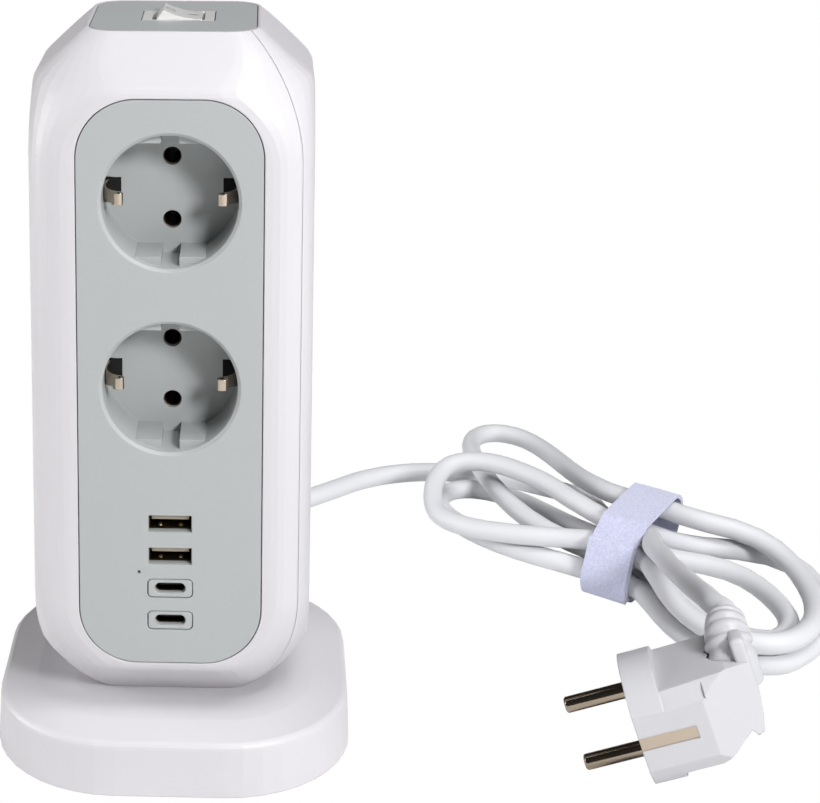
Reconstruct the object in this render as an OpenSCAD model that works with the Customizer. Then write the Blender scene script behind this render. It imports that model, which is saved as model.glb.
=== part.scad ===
// Desk power tower with eleven sockets, four USB charging ports, a rocker
// switch on top and a tied mains lead with an angled plug. Millimetres, +Z up.
// The origin is the middle of the base where it meets the table, and the
// front, with two sockets and the USB ports, faces -Y.

/* [Tower] */
// Width of the tower across its flat faces
tower_w = 82; // [78:1:86]
// Height of the tower alone
tower_h = 203; // [200:1:206]
// Width of the flat top and of the flat foot
top_w = 50.4; // [49:0.2:52]
// Height of the slanted faces at the top and the foot
chamfer_h = 14.4; // [13:0.2:16]
// Radius that rounds the slanted faces into the upright ones
chamfer_r = 5; // [3:0.5:6]
// Height over which the corner ridges bow inwards
ridge_h = 36; // [33:1:39]
// Radius of the bow of the corner ridges
ridge_r = 51; // [49:1:60]
// Distance between two opposite faces through the middle of the ridges
ridge_w = 75; // [73:0.5:76]
// Wall thickness of the casing halves
wall = 2.4; // [2:0.1:2.6]

/* [Sockets] */
// Height difference between one socket and the next
socket_pitch = 55.2; // [54:0.1:56]
// Diameter of a socket well
well_d = 39; // [38.6:0.1:39.4]
// Depth of a socket well
well_depth = 17.6; // [17.2:0.1:17.8]
// Thickness of a well's wall and floor
cup_wall = 1.3; // [1:0.1:1.5]
// Distance between the two pins
pin_pitch = 19; // [18.8:0.1:19.2]
// Diameter of a pin hole
hole_d = 5.4; // [5.2:0.1:5.6]
// Thickness of the sprung earth strip
earth_t = 0.8; // [0.6:0.1:1]
// Width of the sprung earth strip
earth_w = 5.5; // [4.5:0.5:6]

/* [Panels] */
// Width of a face panel
panel_w = 53; // [52:0.2:54]
// Height of a face panel
panel_h = 170; // [168:1:172]
// Corner radius of a face panel
panel_r = 17; // [16:0.5:18]
// Thickness of a face panel
panel_t = 2.4; // [2:0.1:2.6]
// Gap round every panel
groove = 0.3; // [0.2:0.05:0.4]

/* [Charging ports] */
// Height of the lower USB-C port above the lower edge of its panel
usb_up = 13.4; // [12:0.1:15]
// Distance between neighbouring USB ports
usb_pitch = 10.1; // [10:0.1:10.6]
// Width of a USB-A opening
usb_a_w = 12.6; // [12.4:0.1:13]
// Height of a USB-A opening
usb_a_h = 5.2; // [5:0.1:5.4]
// Width of a USB-C surround
usb_c_w = 13.4; // [13:0.1:14]
// Height of a USB-C surround
usb_c_h = 6; // [5.6:0.1:6.4]

/* [Switch] */
// Length of the switch frame
switch_l = 21.2; // [20.6:0.1:22]
// Width of the switch frame
switch_w = 15.2; // [14.6:0.1:16]
// Offset of the switch to the right
switch_x = 1; // [0:0.5:2]
// Tilt of the rocker from its middle
rocker_tilt = 13; // [10:1:14]

/* [Base] */
// Width of the base
base_w = 108; // [104:1:110]
// Corner radius of the base
base_r = 38; // [34:1:42]
// Height of the base under the tower
base_h = 20.5; // [19:0.5:22]
// Height of the base's side wall
base_side = 15.4; // [14:0.2:16]
// Thickness of the rubber feet below the base
foot_h = 1; // [0.6:0.1:1.4]

/* [Mains lead] */
// Diameter of the mains lead
cord_d = 7.2; // [7:0.1:7.4]
// Reach of the hank's upper loop on the side of the tower
hank_left = 109; // [107:1:112]
// Reach of the hank's upper loop on the side of the plug
hank_right = 77; // [76:1:79]
// Diameter of a plug pin
plug_pin_d = 4.8; // [4.7:0.05:4.9]
// Length of a plug pin
plug_pin_l = 19; // [18.5:0.5:19.5]
// Diameter of the plug's face
plug_d = 38; // [37:0.5:39]

/* [Hidden] */
$fn = 64;

// Scale of the small sizes, taken from the pin pitch that all such sockets share
unit = pin_pitch / 19;
over = 0.5 * unit;
tower_half = tower_w / 2;
top_half = top_w / 2;
mid_z = base_h + tower_h / 2;
top_z = base_h + tower_h;
usb_low_z = mid_z - panel_h / 2 + usb_up;
levels = [mid_z - socket_pitch, mid_z, mid_z + socket_pitch];

// Tower shape: half width and ridge place for a depth below the top
slant = atan((tower_half - top_half) / chamfer_h);
slant_run = chamfer_r * tan(slant / 2);
slant_end = chamfer_h - slant_run * cos(slant);
round_end = chamfer_h + slant_run;
diag_share = 1 - sqrt(0.5);
function half_at(d) = d <= slant_end ? top_half + d * tan(slant)
    : d >= round_end ? tower_half
    : tower_half - chamfer_r + sqrt(pow(chamfer_r, 2) - pow(round_end - d, 2));
function ridge_at(d) = ridge_w / 2 - ridge_r + sqrt(pow(ridge_r, 2) - pow(max(ridge_h - d, 0), 2));
function corner_at(d) = (half_at(d) - ridge_at(d)) / diag_share;
slant_steps = 5;
round_steps = 4;
bow_steps = 7;
corner_steps = 9;
outer_depths = concat([for (i = [0:slant_steps]) slant_end * i / slant_steps],
    [for (i = [1:round_steps]) slant_end + (round_end - slant_end) * i / round_steps],
    [for (i = [1:bow_steps]) round_end + (ridge_h - round_end) * i / bow_steps]);
inner_depths = [wall, (wall + slant_end) / 2, slant_end, (slant_end + round_end) / 2,
    round_end, (round_end + ridge_h) / 2, ridge_h];
function inner_half(d) = min(tower_half - wall, top_half + d * tan(slant) - wall / cos(slant));
function inner_corner(d) = min(corner_at(d) - wall, inner_half(d) - wall);

// A rounded square as a list of points, and a stack of such rings as a solid
function ring(a, r, z, n) = [for (q = [0:3]) for (i = [0:n]) let (t = 90 * (q + i / n),
    sx = (q == 0 || q == 3) ? 1 : -1, sy = q < 2 ? 1 : -1)
    [sx * (a - r) + r * cos(t), sy * (a - r) + r * sin(t), z]];
function flat_list(rows) = [for (row = rows) for (p = row) p];
function reversed(v) = [for (i = [len(v) - 1:-1:0]) v[i]];
function side_faces(k, m) = [for (i = [0:k - 2]) for (j = [0:m - 1]) for (h = [0, 1])
    let (a = i * m + j, b = i * m + (j + 1) % m) h == 0 ? [a, b + m, b] : [a, a + m, b + m]];

module stack(rows) {
    k = len(rows);
    m = len(rows[0]);
    caps = [[for (j = [0:m - 1]) j], [for (j = [m - 1:-1:0]) (k - 1) * m + j]];
    polyhedron(flat_list(rows), concat(caps, side_faces(k, m)), convexity = 4);
}

module tower_outside() {
    low = [for (d = outer_depths) ring(half_at(d), corner_at(d), base_h + d, corner_steps)];
    high = [for (d = outer_depths) ring(half_at(d), corner_at(d), top_z - d, corner_steps)];
    stack(concat(low, reversed(high)));
}

module tower_inside() {
    low = [for (d = inner_depths) ring(inner_half(d), inner_corner(d), base_h + d, 3)];
    high = [for (d = inner_depths) ring(inner_half(d), inner_corner(d), top_z - d, 3)];
    stack(concat(low, reversed(high)));
}

// Flat shapes
module slot(w, h) {
    square([w - h, h], center = true);
    for (x = [-1, 1])
        translate([x * (w - h) / 2, 0])
            circle(d = h);
}

module round_rect(w, h, r) {
    square([w - 2 * r, h], center = true);
    square([w, h - 2 * r], center = true);
    for (x = [-1, 1])
        for (y = [-1, 1])
            translate([x * (w / 2 - r), y * (h / 2 - r)])
                circle(r);
}

module box(size, at) {
    translate(at)
        cube(size, center = true);
}

// Puts a flat shape in the plane of the front face and gives it a depth behind that face
module on_front(z, behind, depth) {
    translate([0, -tower_half + behind + depth, z])
        rotate([90, 0, 0])
            linear_extrude(depth)
                children();
}

// Casing
boss_at = 15.5 * unit;
boss_d = 6 * unit;
boss_h = 9 * unit;
tower_screw_d = 3 * unit;
wire_hole_d = 18 * unit;
top_open = 48.8 * unit;
top_corner = 8.5 * unit;
seam_gap = 0.2 * unit;

module casing() {
    difference() {
        tower_outside();
        tower_inside();
        for (a = [0:90:270])
            rotate([0, 0, a])
                on_front(mid_z, -over, panel_t + 2 * over)
                    round_rect(panel_w + 2 * groove, panel_h + 2 * groove, panel_r + groove);
        translate([0, 0, top_z - wall - over])
            linear_extrude(wall + 2 * over)
                round_rect(top_open, top_open, top_corner);
        translate([0, 0, base_h - over])
            cylinder(d = wire_hole_d, h = wall + 2 * over);
        for (x = [-1, 1])
            for (y = [-1, 1])
                translate([x * boss_at, y * boss_at, base_h - over])
                    cylinder(d = tower_screw_d, h = wall + 2 * over);
    }
}

// One side of the casing, kept by a wall-high half space on one side of the seam
module casing_side(turn) {
    difference() {
        casing();
        rotate([0, 0, turn])
            translate([-seam_gap / 2, -tower_w, base_h - over])
                cube([2 * tower_w, 2 * tower_w, tower_h + 2 * over]);
    }
}

module casing_bosses(places) {
    for (p = places)
        translate([p[0] * boss_at, p[1] * boss_at, base_h + wall])
            difference() {
                cylinder(d = boss_d, h = boss_h - wall);
                cylinder(d = tower_screw_d, h = boss_h - wall + over);
            }
}

module front_left_casing() {
    color("whitesmoke") {
        casing_side(45);
        casing_bosses([[-1, -1]]);
    }
}

module rear_right_casing() {
    color("whitesmoke") {
        casing_side(225);
        casing_bosses([[1, 1]]);
    }
}

// Face panels with their wells
well_r = well_d / 2;
lip_r = 20.4 * unit;
lip_depth = 0.9 * unit;
floor_t = 1.6 * unit;
guide_low = 2.6 * unit;
guide_w = 7.4 * unit;
guide_in = 2.9 * unit;
guide_start = 3.4 * unit;
slot_in = well_r - 2 * unit;
slot_w = 2.2 * unit;
flange_w = 57 * unit;
flange_h = 128 * unit;
flange_t = 1.4 * unit;
flange_r = 4 * unit;
back_y = -tower_half + well_depth + floor_t;

module at_level(z) {
    translate([0, -tower_half, z])
        rotate([-90, 0, 0])
            children();
}

module well_cup(z) {
    at_level(z)
        cylinder(r = well_r + cup_wall, h = well_depth + floor_t);
}

module well_bore(z) {
    difference() {
        at_level(z)
            union() {
                translate([0, 0, -over])
                    cylinder(r = well_r, h = well_depth + over);
                translate([0, 0, -over])
                    cylinder(r = lip_r, h = over);
                cylinder(r1 = lip_r, r2 = well_r, h = lip_depth);
            }
        for (x = [-1, 1])
            for (y = [-1, 1])
                box([guide_w, well_depth - guide_start + over, 2 * guide_in],
                    [x * (guide_low + guide_w / 2), -tower_half + (well_depth + guide_start + over) / 2,
                        z + y * well_r]);
    }
    for (y = [-1, 1])
        translate([0, 0, y * pin_pitch / 2])
            at_level(z)
                cylinder(d = hole_d, h = well_depth + floor_t + over);
    for (x = [-1, 1])
        box([slot_w, floor_t + 2 * over, earth_w + 2 * groove],
            [x * (slot_in + slot_w / 2), back_y - floor_t / 2, z]);
}

led_x = -9.1 * unit;
led_z = usb_low_z + 15.1 * unit;
led_d = 1.2 * unit;

module usb_holes() {
    for (i = [0, 1])
        on_front(usb_low_z + i * usb_pitch, -over, panel_t + flange_t + 2 * over)
            round_rect(usb_c_w, usb_c_h, usb_c_h / 4);
    for (i = [2, 3])
        on_front(usb_low_z + i * usb_pitch, -over, panel_t + flange_t + 2 * over)
            square([usb_a_w, usb_a_h], center = true);
    translate([led_x, 0, led_z])
        at_level(0)
            translate([0, 0, -over])
                cylinder(d = led_d, h = panel_t + flange_t + 2 * over);
}

module face_panel(places, ports) {
    difference() {
        union() {
            on_front(mid_z, 0, panel_t)
                round_rect(panel_w, panel_h, panel_r);
            on_front(mid_z, panel_t, flange_t)
                round_rect(flange_w, flange_h, flange_r);
            for (z = places)
                well_cup(z);
        }
        for (z = places)
            well_bore(z);
        if (ports)
            usb_holes();
    }
}

module front_panel() {
    color("silver")
        face_panel([levels[1], levels[2]], true);
}

module right_panel() {
    color("silver")
        rotate([0, 0, 90])
            face_panel(levels, false);
}

module rear_panel() {
    color("silver")
        rotate([0, 0, 180])
            face_panel(levels, false);
}

module left_panel() {
    color("silver")
        rotate([0, 0, 270])
            face_panel(levels, false);
}

// Top panel and switch
top_t = 2.2 * unit;
top_step = 1 * unit;
switch_hole = 0.3 * unit;
rocker_l = 15.4 * unit;
rocker_w = 12.8 * unit;
rocker_gap = 0.2 * unit;
flange_over = 2 * unit;
body_flange = 1.8 * unit;
body_l = 19.4 * unit;
body_w = 15 * unit;
body_h = 17 * unit;
rocker_room = 9 * unit;
pivot_drop = 4.05 * unit;
pivot_z = top_z - pivot_drop;
pivot_r = 1 * unit;
pivot_fit = 0.05 * unit;
pivot_reach = 6.9 * unit;

module top_panel() {
    color("silver")
        difference() {
            union() {
                translate([0, 0, top_z - top_t])
                    linear_extrude(top_t - top_step)
                        round_rect(top_open, top_open, top_corner);
                translate([0, 0, top_z - top_step - over])
                    linear_extrude(top_step + over)
                        round_rect(top_open - 2 * groove, top_open - 2 * groove, top_corner - groove);
            }
            box([switch_l + 2 * switch_hole, switch_w + 2 * switch_hole, 4 * top_t],
                [switch_x, 0, top_z - top_t / 2]);
        }
}

module switch_frame() {
    color("white")
        difference() {
            box([switch_l, switch_w, top_t], [switch_x, 0, top_z - top_t / 2]);
            box([rocker_l, rocker_w + 2 * rocker_gap, 2 * top_t], [switch_x, 0, top_z - top_t / 2]);
        }
}

module switch_body() {
    color("dimgray")
        difference() {
            union() {
                box([switch_l + 2 * flange_over, switch_w + 2 * flange_over, body_flange],
                    [switch_x, 0, top_z - top_t - body_flange / 2]);
                box([body_l, body_w, body_h], [switch_x, 0, top_z - top_t - body_h / 2]);
            }
            box([rocker_l, rocker_w + 2 * rocker_gap, 2 * rocker_room], [switch_x, 0, top_z - top_t]);
            translate([switch_x, 0, pivot_z])
                rotate([90, 0, 0])
                    cylinder(r = pivot_r + pivot_fit, h = 2 * pivot_reach + over, center = true);
        }
}

// Outline of the rocker about its pivot, with both thumb ends alike
rocker_tip = [5.8 * unit, 5.65 * unit];
rocker_end = [7.2 * unit, 2.2 * unit];
rocker_low = [5.4 * unit, -2.6 * unit];
rocker_dip_r = 23.6 * unit;
rocker_sag = 0.75 * unit;

module switch_rocker() {
    color("white")
        translate([switch_x, 0, pivot_z])
            rotate([90, rocker_tilt, 0])
                union() {
                    difference() {
                        linear_extrude(rocker_w, center = true)
                            polygon([rocker_tip, rocker_end, rocker_low,
                                [-rocker_low[0], rocker_low[1]], [-rocker_end[0], rocker_end[1]],
                                [-rocker_tip[0], rocker_tip[1]]]);
                        translate([0, rocker_tip[1] + rocker_dip_r - rocker_sag, 0])
                            cylinder(r = rocker_dip_r, h = rocker_w + 2 * over, center = true, $fn = 180);
                    }
                    cylinder(r = pivot_r, h = 2 * pivot_reach, center = true);
                }
}

blade_l = 8 * unit;
blade_w = 4.8 * unit;
blade_share = 0.75;
blade_t = 0.8 * unit;
blade_pitch = 7 * unit;

module switch_terminals() {
    color("goldenrod")
        for (x = [-1, 1])
            for (y = [-1, 1])
                box([blade_t, blade_w, blade_l], [switch_x + x * blade_pitch, y * blade_w * blade_share,
                    top_z - top_t - body_h - blade_l / 2]);
}

// Base
base_half = base_w / 2;
rim_inset = 3.2 * unit;
rim_rise = 2.2 * unit;
draft = 0.6 * unit;
rim_steps = 4;
crown_half = 42 * unit;
crown_r = 26 * unit;
crown_z = 19.4 * unit;
seat_half = 30 * unit;
seat_r = 10 * unit;
base_wall = 2.4 * unit;
base_steps = 10;
plate_t = 2 * unit;
plate_z = foot_h + 0.8 * unit;
plate_gap = 0.2 * unit;
base_boss_in = 9.716 * unit;
base_boss_at = base_half - base_r + (base_r - base_boss_in) * cos(45);
base_boss_d = 7 * unit;
base_screw_d = 3 * unit;
relief_z = 10.2 * unit;
relief_bore = 12 * unit;

module base_outside() {
    rim = [for (i = [0:rim_steps]) let (t = 90 * i / rim_steps, inset = draft + (rim_inset - draft) * (1 - cos(t)))
        ring(base_half - inset, base_r - inset, base_side + rim_rise * sin(t), base_steps)];
    stack(concat([ring(base_half, base_r, foot_h, base_steps)], rim,
        [ring(crown_half, crown_r, crown_z, base_steps), ring(seat_half, seat_r, base_h, base_steps)]));
}

module base_inside() {
    stack([ring(base_half - base_wall, base_r - base_wall, foot_h - over, base_steps),
        ring(base_half - base_wall - draft, base_r - base_wall - draft, base_side, base_steps),
        ring(seat_half, seat_r, base_h - base_wall, base_steps)]);
}

module base_shell() {
    color("whitesmoke")
        difference() {
            union() {
                difference() {
                    base_outside();
                    base_inside();
                }
                for (x = [-1, 1])
                    for (y = [-1, 1])
                        translate([x * base_boss_at, y * base_boss_at, plate_z + plate_t])
                            cylinder(d = base_boss_d, h = base_side - plate_z - plate_t + over);
            }
            translate([0, 0, base_h - 2 * base_wall])
                cylinder(d = wire_hole_d, h = 3 * base_wall);
            for (x = [-1, 1])
                for (y = [-1, 1]) {
                    translate([x * boss_at, y * boss_at, base_h - 2 * base_wall])
                        cylinder(d = tower_screw_d, h = 3 * base_wall);
                    translate([x * base_boss_at, y * base_boss_at, 0])
                        cylinder(d = base_screw_d, h = base_side);
                }
            translate([0, base_half, relief_z])
                rotate([90, 0, 0])
                    cylinder(d = relief_bore, h = 4 * base_wall, center = true);
        }
}

module base_plate() {
    color("gainsboro")
        difference() {
            translate([0, 0, plate_z])
                linear_extrude(plate_t)
                    round_rect(base_w - 2 * base_wall - 2 * plate_gap, base_w - 2 * base_wall - 2 * plate_gap,
                        base_r - base_wall - plate_gap);
            for (x = [-1, 1])
                for (y = [-1, 1])
                    translate([x * base_boss_at, y * base_boss_at, plate_z - over])
                        cylinder(d = base_screw_d, h = plate_t + 2 * over);
        }
}

foot_d = 12 * unit;
foot_at = 27 * unit;

module rubber_feet() {
    color("dimgray")
        for (x = [-1, 1])
            for (y = [-1, 1])
                translate([x * foot_at, y * foot_at, 0])
                    cylinder(d = foot_d, h = plate_z);
}

screw_head_d = 5.4 * unit;
screw_head_h = 1.2 * unit;
screw_in = 8 * unit;

module screw(d, l) {
    translate([0, 0, -screw_head_h])
        cylinder(d = screw_head_d, h = screw_head_h);
    cylinder(d = d, h = l);
}

module base_screws() {
    color("silver")
        for (x = [-1, 1])
            for (y = [-1, 1])
                translate([x * base_boss_at, y * base_boss_at, plate_z])
                    screw(base_screw_d, screw_in);
}

module tower_screws() {
    color("silver")
        for (s = [-1, 1])
            translate([s * boss_at, s * boss_at, base_h - base_wall])
                screw(tower_screw_d, base_wall + wall + screw_in - boss_d / 2);
}

// Contacts: round each level a sleeve for every pin, joined by a cross and one upright strip
sleeve_w = 6.4 * unit;
sleeve_bore = 4.9 * unit;
sleeve_end = -8.8 * unit;
cross_t = 1 * unit;
strip_at = 10 * unit;
strip_w = 3 * unit;
strip_low = 20 * unit;
front_levels = [levels[1], levels[2]];

module sleeve(z) {
    difference() {
        box([sleeve_w, sleeve_end - back_y, sleeve_w], [0, (sleeve_end + back_y) / 2, z]);
        translate([0, (sleeve_end + back_y) / 2, z])
            rotate([90, 0, 0])
                cylinder(d = sleeve_bore, h = sleeve_end - back_y + 2 * over, center = true);
    }
}

module busbar(side) {
    for (z = levels)
        for (a = [0:90:270])
            if (a != 0 || z != levels[0])
                rotate([0, 0, a]) {
                    sleeve(z + side * pin_pitch / 2);
                    box([sleeve_w, -back_y, cross_t],
                        [0, back_y / 2, z + side * (pin_pitch / 2 + sleeve_w / 2 + cross_t / 2)]);
                }
    for (z = levels)
        box([strip_at + strip_w / 2, strip_at + strip_w / 2, cross_t],
            [side * (strip_at + strip_w / 2) / 2, side * (strip_at + strip_w / 2) / 2,
                z + side * (pin_pitch / 2 + sleeve_w / 2 + cross_t / 2)]);
    low = levels[0] - strip_low;
    high = levels[2] + side * (pin_pitch / 2 + sleeve_w / 2) + cross_t;
    box([strip_w, strip_w, high - low], [side * strip_at, side * strip_at, (high + low) / 2]);
}

module line_busbar() {
    color("peru")
        busbar(1);
}

module neutral_busbar() {
    color("peru")
        busbar(-1);
}

ring_out = -back_y - 0.2 * unit;
ring_t = 1 * unit;
ring_h = 5.5 * unit;
earth_post = 2 * unit;

module earth_busbar() {
    color("darkkhaki") {
        for (z = levels)
            difference() {
                box([2 * ring_out, 2 * ring_out, ring_h], [0, 0, z]);
                box([2 * (ring_out - ring_t), 2 * (ring_out - ring_t), ring_h + over], [0, 0, z]);
            }
        low = levels[0] - strip_low;
        high = levels[2] + ring_h / 2;
        post_at = ring_out - ring_t - earth_post / 2;
        box([earth_post, earth_post, high - low], [-post_at, post_at, (high + low) / 2]);
    }
}

// Sprung strip seen from above: foot behind the well floor, then bulge and flared tip,
// each point with its distance from the well's wall and its depth
clip_x = well_r - 1.2 * unit;
clip_bulge = [[3.7 * unit, 9.6 * unit], [4 * unit, 8.2 * unit], [3.7 * unit, 6.8 * unit],
    [2.7 * unit, 5.2 * unit], [1.3 * unit, 4 * unit]];
clip_foot = 15 * unit;
clip_path = concat([[clip_x, -ring_out], [clip_x, -tower_half + clip_foot]],
    [for (p = clip_bulge) [well_r - p[0], -tower_half + p[1]]]);

module earth_clip(z) {
    for (s = [-1, 1])
        translate([0, 0, z - earth_w / 2])
            linear_extrude(earth_w)
                polygon(concat([for (p = clip_path) [s * p[0], p[1]]],
                    [for (i = [len(clip_path) - 1:-1:0]) [s * (clip_path[i][0] + earth_t), clip_path[i][1]]]));
}

module earth_clips() {
    color("khaki")
        for (z = levels)
            for (a = [0:90:270])
                if (a != 0 || z != levels[0])
                    rotate([0, 0, a])
                        earth_clip(z);
}

carrier_half = ring_out - ring_t;
carrier_gap = 0.4 * unit;
post_at = 14.6 * unit;
post_w = 5 * unit;

module contact_carrier() {
    plate_low = ring_h / 2;
    plate_high = pin_pitch / 2 - sleeve_w / 2;
    color("ivory")
        difference() {
            union() {
                for (z = levels)
                    for (s = [-1, 1])
                        box([2 * carrier_half, 2 * carrier_half, plate_high - plate_low],
                            [0, 0, z + s * (plate_low + plate_high) / 2]);
                low = base_h + wall;
                high = levels[2] + plate_high;
                for (s = [-1, 1])
                    box([post_w, post_w, high - low], [s * post_at, -s * post_at, (high + low) / 2]);
            }
            for (s = [-1, 1])
                box([strip_w + carrier_gap, strip_w + carrier_gap, 2 * tower_h],
                    [s * strip_at, s * strip_at, mid_z]);
            box([2 * earth_post + carrier_gap, 2 * earth_post + carrier_gap, 2 * tower_h],
                [-carrier_half, carrier_half, mid_z]);
        }
}

// Charging ports on their board
board_y = -tower_half + 15.4 * unit;
board_t = 1.6 * unit;
board_w = 38 * unit;
board_h = 52 * unit;
port_wall = 0.3 * unit;
port_a = [usb_a_w - 2 * port_wall, usb_a_h - 2 * port_wall];
port_front = 1.2 * unit;
port_c = [8.9 * unit, 3.2 * unit];
surround_t = 3.6 * unit;

module port_back(z, front) {
    depth = tower_half + board_y - front;
    on_front(z, front, depth)
        children();
}

module usb_a_shells() {
    color("lightgray")
        for (i = [2, 3])
            port_back(usb_low_z + i * usb_pitch, port_front)
                difference() {
                    square([usb_a_w, usb_a_h], center = true);
                    square(port_a, center = true);
                }
}

tongue_a = [11 * unit, 1.8 * unit];
tongue_a_set = 1.2 * unit;
tongue_front = 4 * unit;

module usb_a_tongues() {
    color("gray")
        for (i = [2, 3])
            port_back(usb_low_z + i * usb_pitch + tongue_a_set, port_front + tongue_front)
                square(tongue_a, center = true);
}

module usb_c_surrounds() {
    color("silver")
        for (i = [0, 1])
            on_front(usb_low_z + i * usb_pitch, 0, surround_t)
                difference() {
                    round_rect(usb_c_w, usb_c_h, usb_c_h / 4);
                    slot(port_c[0], port_c[1]);
                }
}

module usb_c_shells() {
    color("lightgray")
        for (i = [0, 1])
            port_back(usb_low_z + i * usb_pitch, surround_t)
                difference() {
                    slot(port_c[0] + 2 * port_wall, port_c[1] + 2 * port_wall);
                    slot(port_c[0], port_c[1]);
                }
}

tongue_c = [6.6 * unit, 0.7 * unit];
tongue_c_front = 1.6 * unit;

module usb_c_tongues() {
    color("dimgray")
        for (i = [0, 1])
            port_back(usb_low_z + i * usb_pitch, tongue_c_front)
                square(tongue_c, center = true);
}

module usb_board() {
    color("seagreen")
        box([board_w, board_t, board_h], [0, board_y + board_t / 2, usb_low_z + 1.5 * usb_pitch]);
}

module charge_light() {
    color("honeydew")
        translate([led_x, 0, led_z])
            at_level(0)
                cylinder(d = led_d, h = tower_half + board_y);
}

// Boards in the base
tray_t = 1.6 * unit;
standoff_d = 5 * unit;
standoff_h = 2.4 * unit;
tray_z = plate_z + plate_t + standoff_h;
board_in = 9 * unit;
board_out = base_half - 11 * unit;
surge_size = [board_out - board_in, base_w - 64 * unit];
supply_x = (board_in + board_out) / 2;
surge_x = -supply_x;
disc_d = 12 * unit;
disc_t = 4 * unit;

module tray(x) {
    translate([x, 0, tray_z + tray_t / 2])
        cube([surge_size[0], surge_size[1], tray_t], center = true);
    for (a = [-1, 1])
        for (b = [-1, 1])
            translate([x + a * (surge_size[0] - standoff_d) / 2, b * (surge_size[1] - standoff_d) / 2,
                plate_z + plate_t])
                cylinder(d = standoff_d, h = standoff_h);
}

module surge_board() {
    color("seagreen")
        tray(surge_x);
}

disc_space = 2 * unit;

module varistors() {
    color("royalblue")
        for (i = [-1:1])
            translate([surge_x, i * (disc_d + disc_space), tray_z + tray_t])
                cylinder(d = disc_d, h = disc_t);
}

module usb_supply_board() {
    color("seagreen")
        tray(supply_x);
}

core_size = [14 * unit, 13 * unit, 8 * unit];
can_d = 8 * unit;
can_l = 13 * unit;

module supply_parts() {
    color("dimgray") {
        translate([supply_x - surge_size[0] / 4, -surge_size[1] / 4, tray_z + tray_t + core_size[2] / 2])
            cube(core_size, center = true);
        translate([supply_x + surge_size[0] / 4, 0, tray_z + tray_t + can_d / 2])
            rotate([90, 0, 0])
                cylinder(d = can_d, h = can_l, center = true);
        translate([supply_x - surge_size[0] / 4, surge_size[1] / 4, tray_z + tray_t + can_d / 2])
            rotate([0, 90, 0])
                cylinder(d = can_d, h = can_l, center = true);
    }
}

// Where the lead enters the base
relief_l = 30 * unit;
relief_tip_d = 8.8 * unit;
relief_collar_d = 14 * unit;
relief_collar_t = 1.5 * unit;
relief_start = base_half - 4.6 * unit;

module cord_relief() {
    color("whitesmoke")
        translate([0, 0, relief_z])
            rotate([-90, 0, 0])
                difference() {
                    union() {
                        translate([0, 0, relief_start])
                            cylinder(d = relief_bore, h = base_half - relief_start + over);
                        translate([0, 0, base_half])
                            cylinder(d = relief_collar_d, h = relief_collar_t);
                        translate([0, 0, base_half])
                            cylinder(d1 = relief_bore, d2 = relief_tip_d, h = relief_l);
                    }
                    translate([0, 0, relief_start - over])
                        cylinder(d = cord_d, h = base_half + relief_l);
                }
}

clamp_y = base_half - 16 * unit;
clamp_w = 26 * unit;
clamp_d = 8 * unit;
clamp_pitch = 18 * unit;
clamp_wall = 1 * unit;
clamp_top = relief_z + cord_d / 2 + clamp_wall;

module cord_clamp() {
    bottom = plate_z + plate_t;
    color("ivory")
        difference() {
            box([clamp_w, clamp_d, clamp_top - bottom], [0, clamp_y, (clamp_top + bottom) / 2]);
            translate([0, clamp_y, relief_z])
                rotate([90, 0, 0])
                    cylinder(d = cord_d, h = clamp_d + 2 * over, center = true);
            for (x = [-1, 1])
                translate([x * clamp_pitch / 2, clamp_y, bottom])
                    cylinder(d = base_screw_d, h = clamp_top);
        }
}

module clamp_screws() {
    color("silver")
        for (x = [-1, 1])
            translate([x * clamp_pitch / 2, clamp_y, clamp_top])
                rotate([180, 0, 0])
                    screw(base_screw_d, screw_in);
}

// Jacket end inside the base and the three cores that rise into the tower
core_d = 2.6 * unit;
core_pitch = 4 * unit;
core_y = clamp_y - 14 * unit;

module inner_leads() {
    color("saddlebrown") {
        translate([0, 0, relief_z])
            rotate([-90, 0, 0])
                translate([0, 0, core_y])
                    cylinder(d = cord_d, h = base_half + relief_l - core_y);
        for (i = [-1:1]) {
            translate([i * core_pitch, 0, relief_z])
                rotate([-90, 0, 0])
                    cylinder(d = core_d, h = core_y + over);
            translate([i * core_pitch, 0, relief_z])
                sphere(d = core_d);
            translate([i * core_pitch, 0, relief_z])
                cylinder(d = core_d, h = levels[0] - strip_low - relief_z);
        }
    }
}

// Mains lead outside: a tube swept along a smooth curve through hand-picked places
function unitv(v) = v / norm(v);
function spline(p0, p1, p2, p3, t) = 0.5 * (2 * p1 + (p2 - p0) * t
    + (2 * p0 - 5 * p1 + 4 * p2 - p3) * pow(t, 2) + (3 * p1 - p0 - 3 * p2 + p3) * pow(t, 3));
function smooth_path(p, n) = [for (i = [0:len(p) - 2]) for (j = [0:n - 1])
    spline(i == 0 ? 2 * p[0] - p[1] : p[i - 1], p[i], p[i + 1],
        i == len(p) - 2 ? 2 * p[i + 1] - p[i] : p[i + 2], j / n)];
function whole_path(p, n) = concat(smooth_path(p, n), [p[len(p) - 1]]);
function heading(p, i) = i == 0 ? unitv(p[1] - p[0]) : i == len(p) - 1 ? unitv(p[i] - p[i - 1])
    : unitv(unitv(p[i + 1] - p[i]) + unitv(p[i] - p[i - 1]));
function hoop(c, h, r, n) = let (side = unitv(cross(h, [0, 0, 1])), up = cross(side, h))
    [for (j = [0:n - 1]) c + r * (cos(360 * j / n) * side - sin(360 * j / n) * up)];
function run_length(p) = len(p) < 2 ? 0 : let (steps = [for (i = [1:len(p) - 1]) norm(p[i] - p[i - 1])])
    steps * [for (s = steps) 1];

module sweep(p, d, n) {
    stack([for (i = [0:len(p) - 1]) hoop(p[i], heading(p, i), d / 2, n)]);
}

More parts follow.
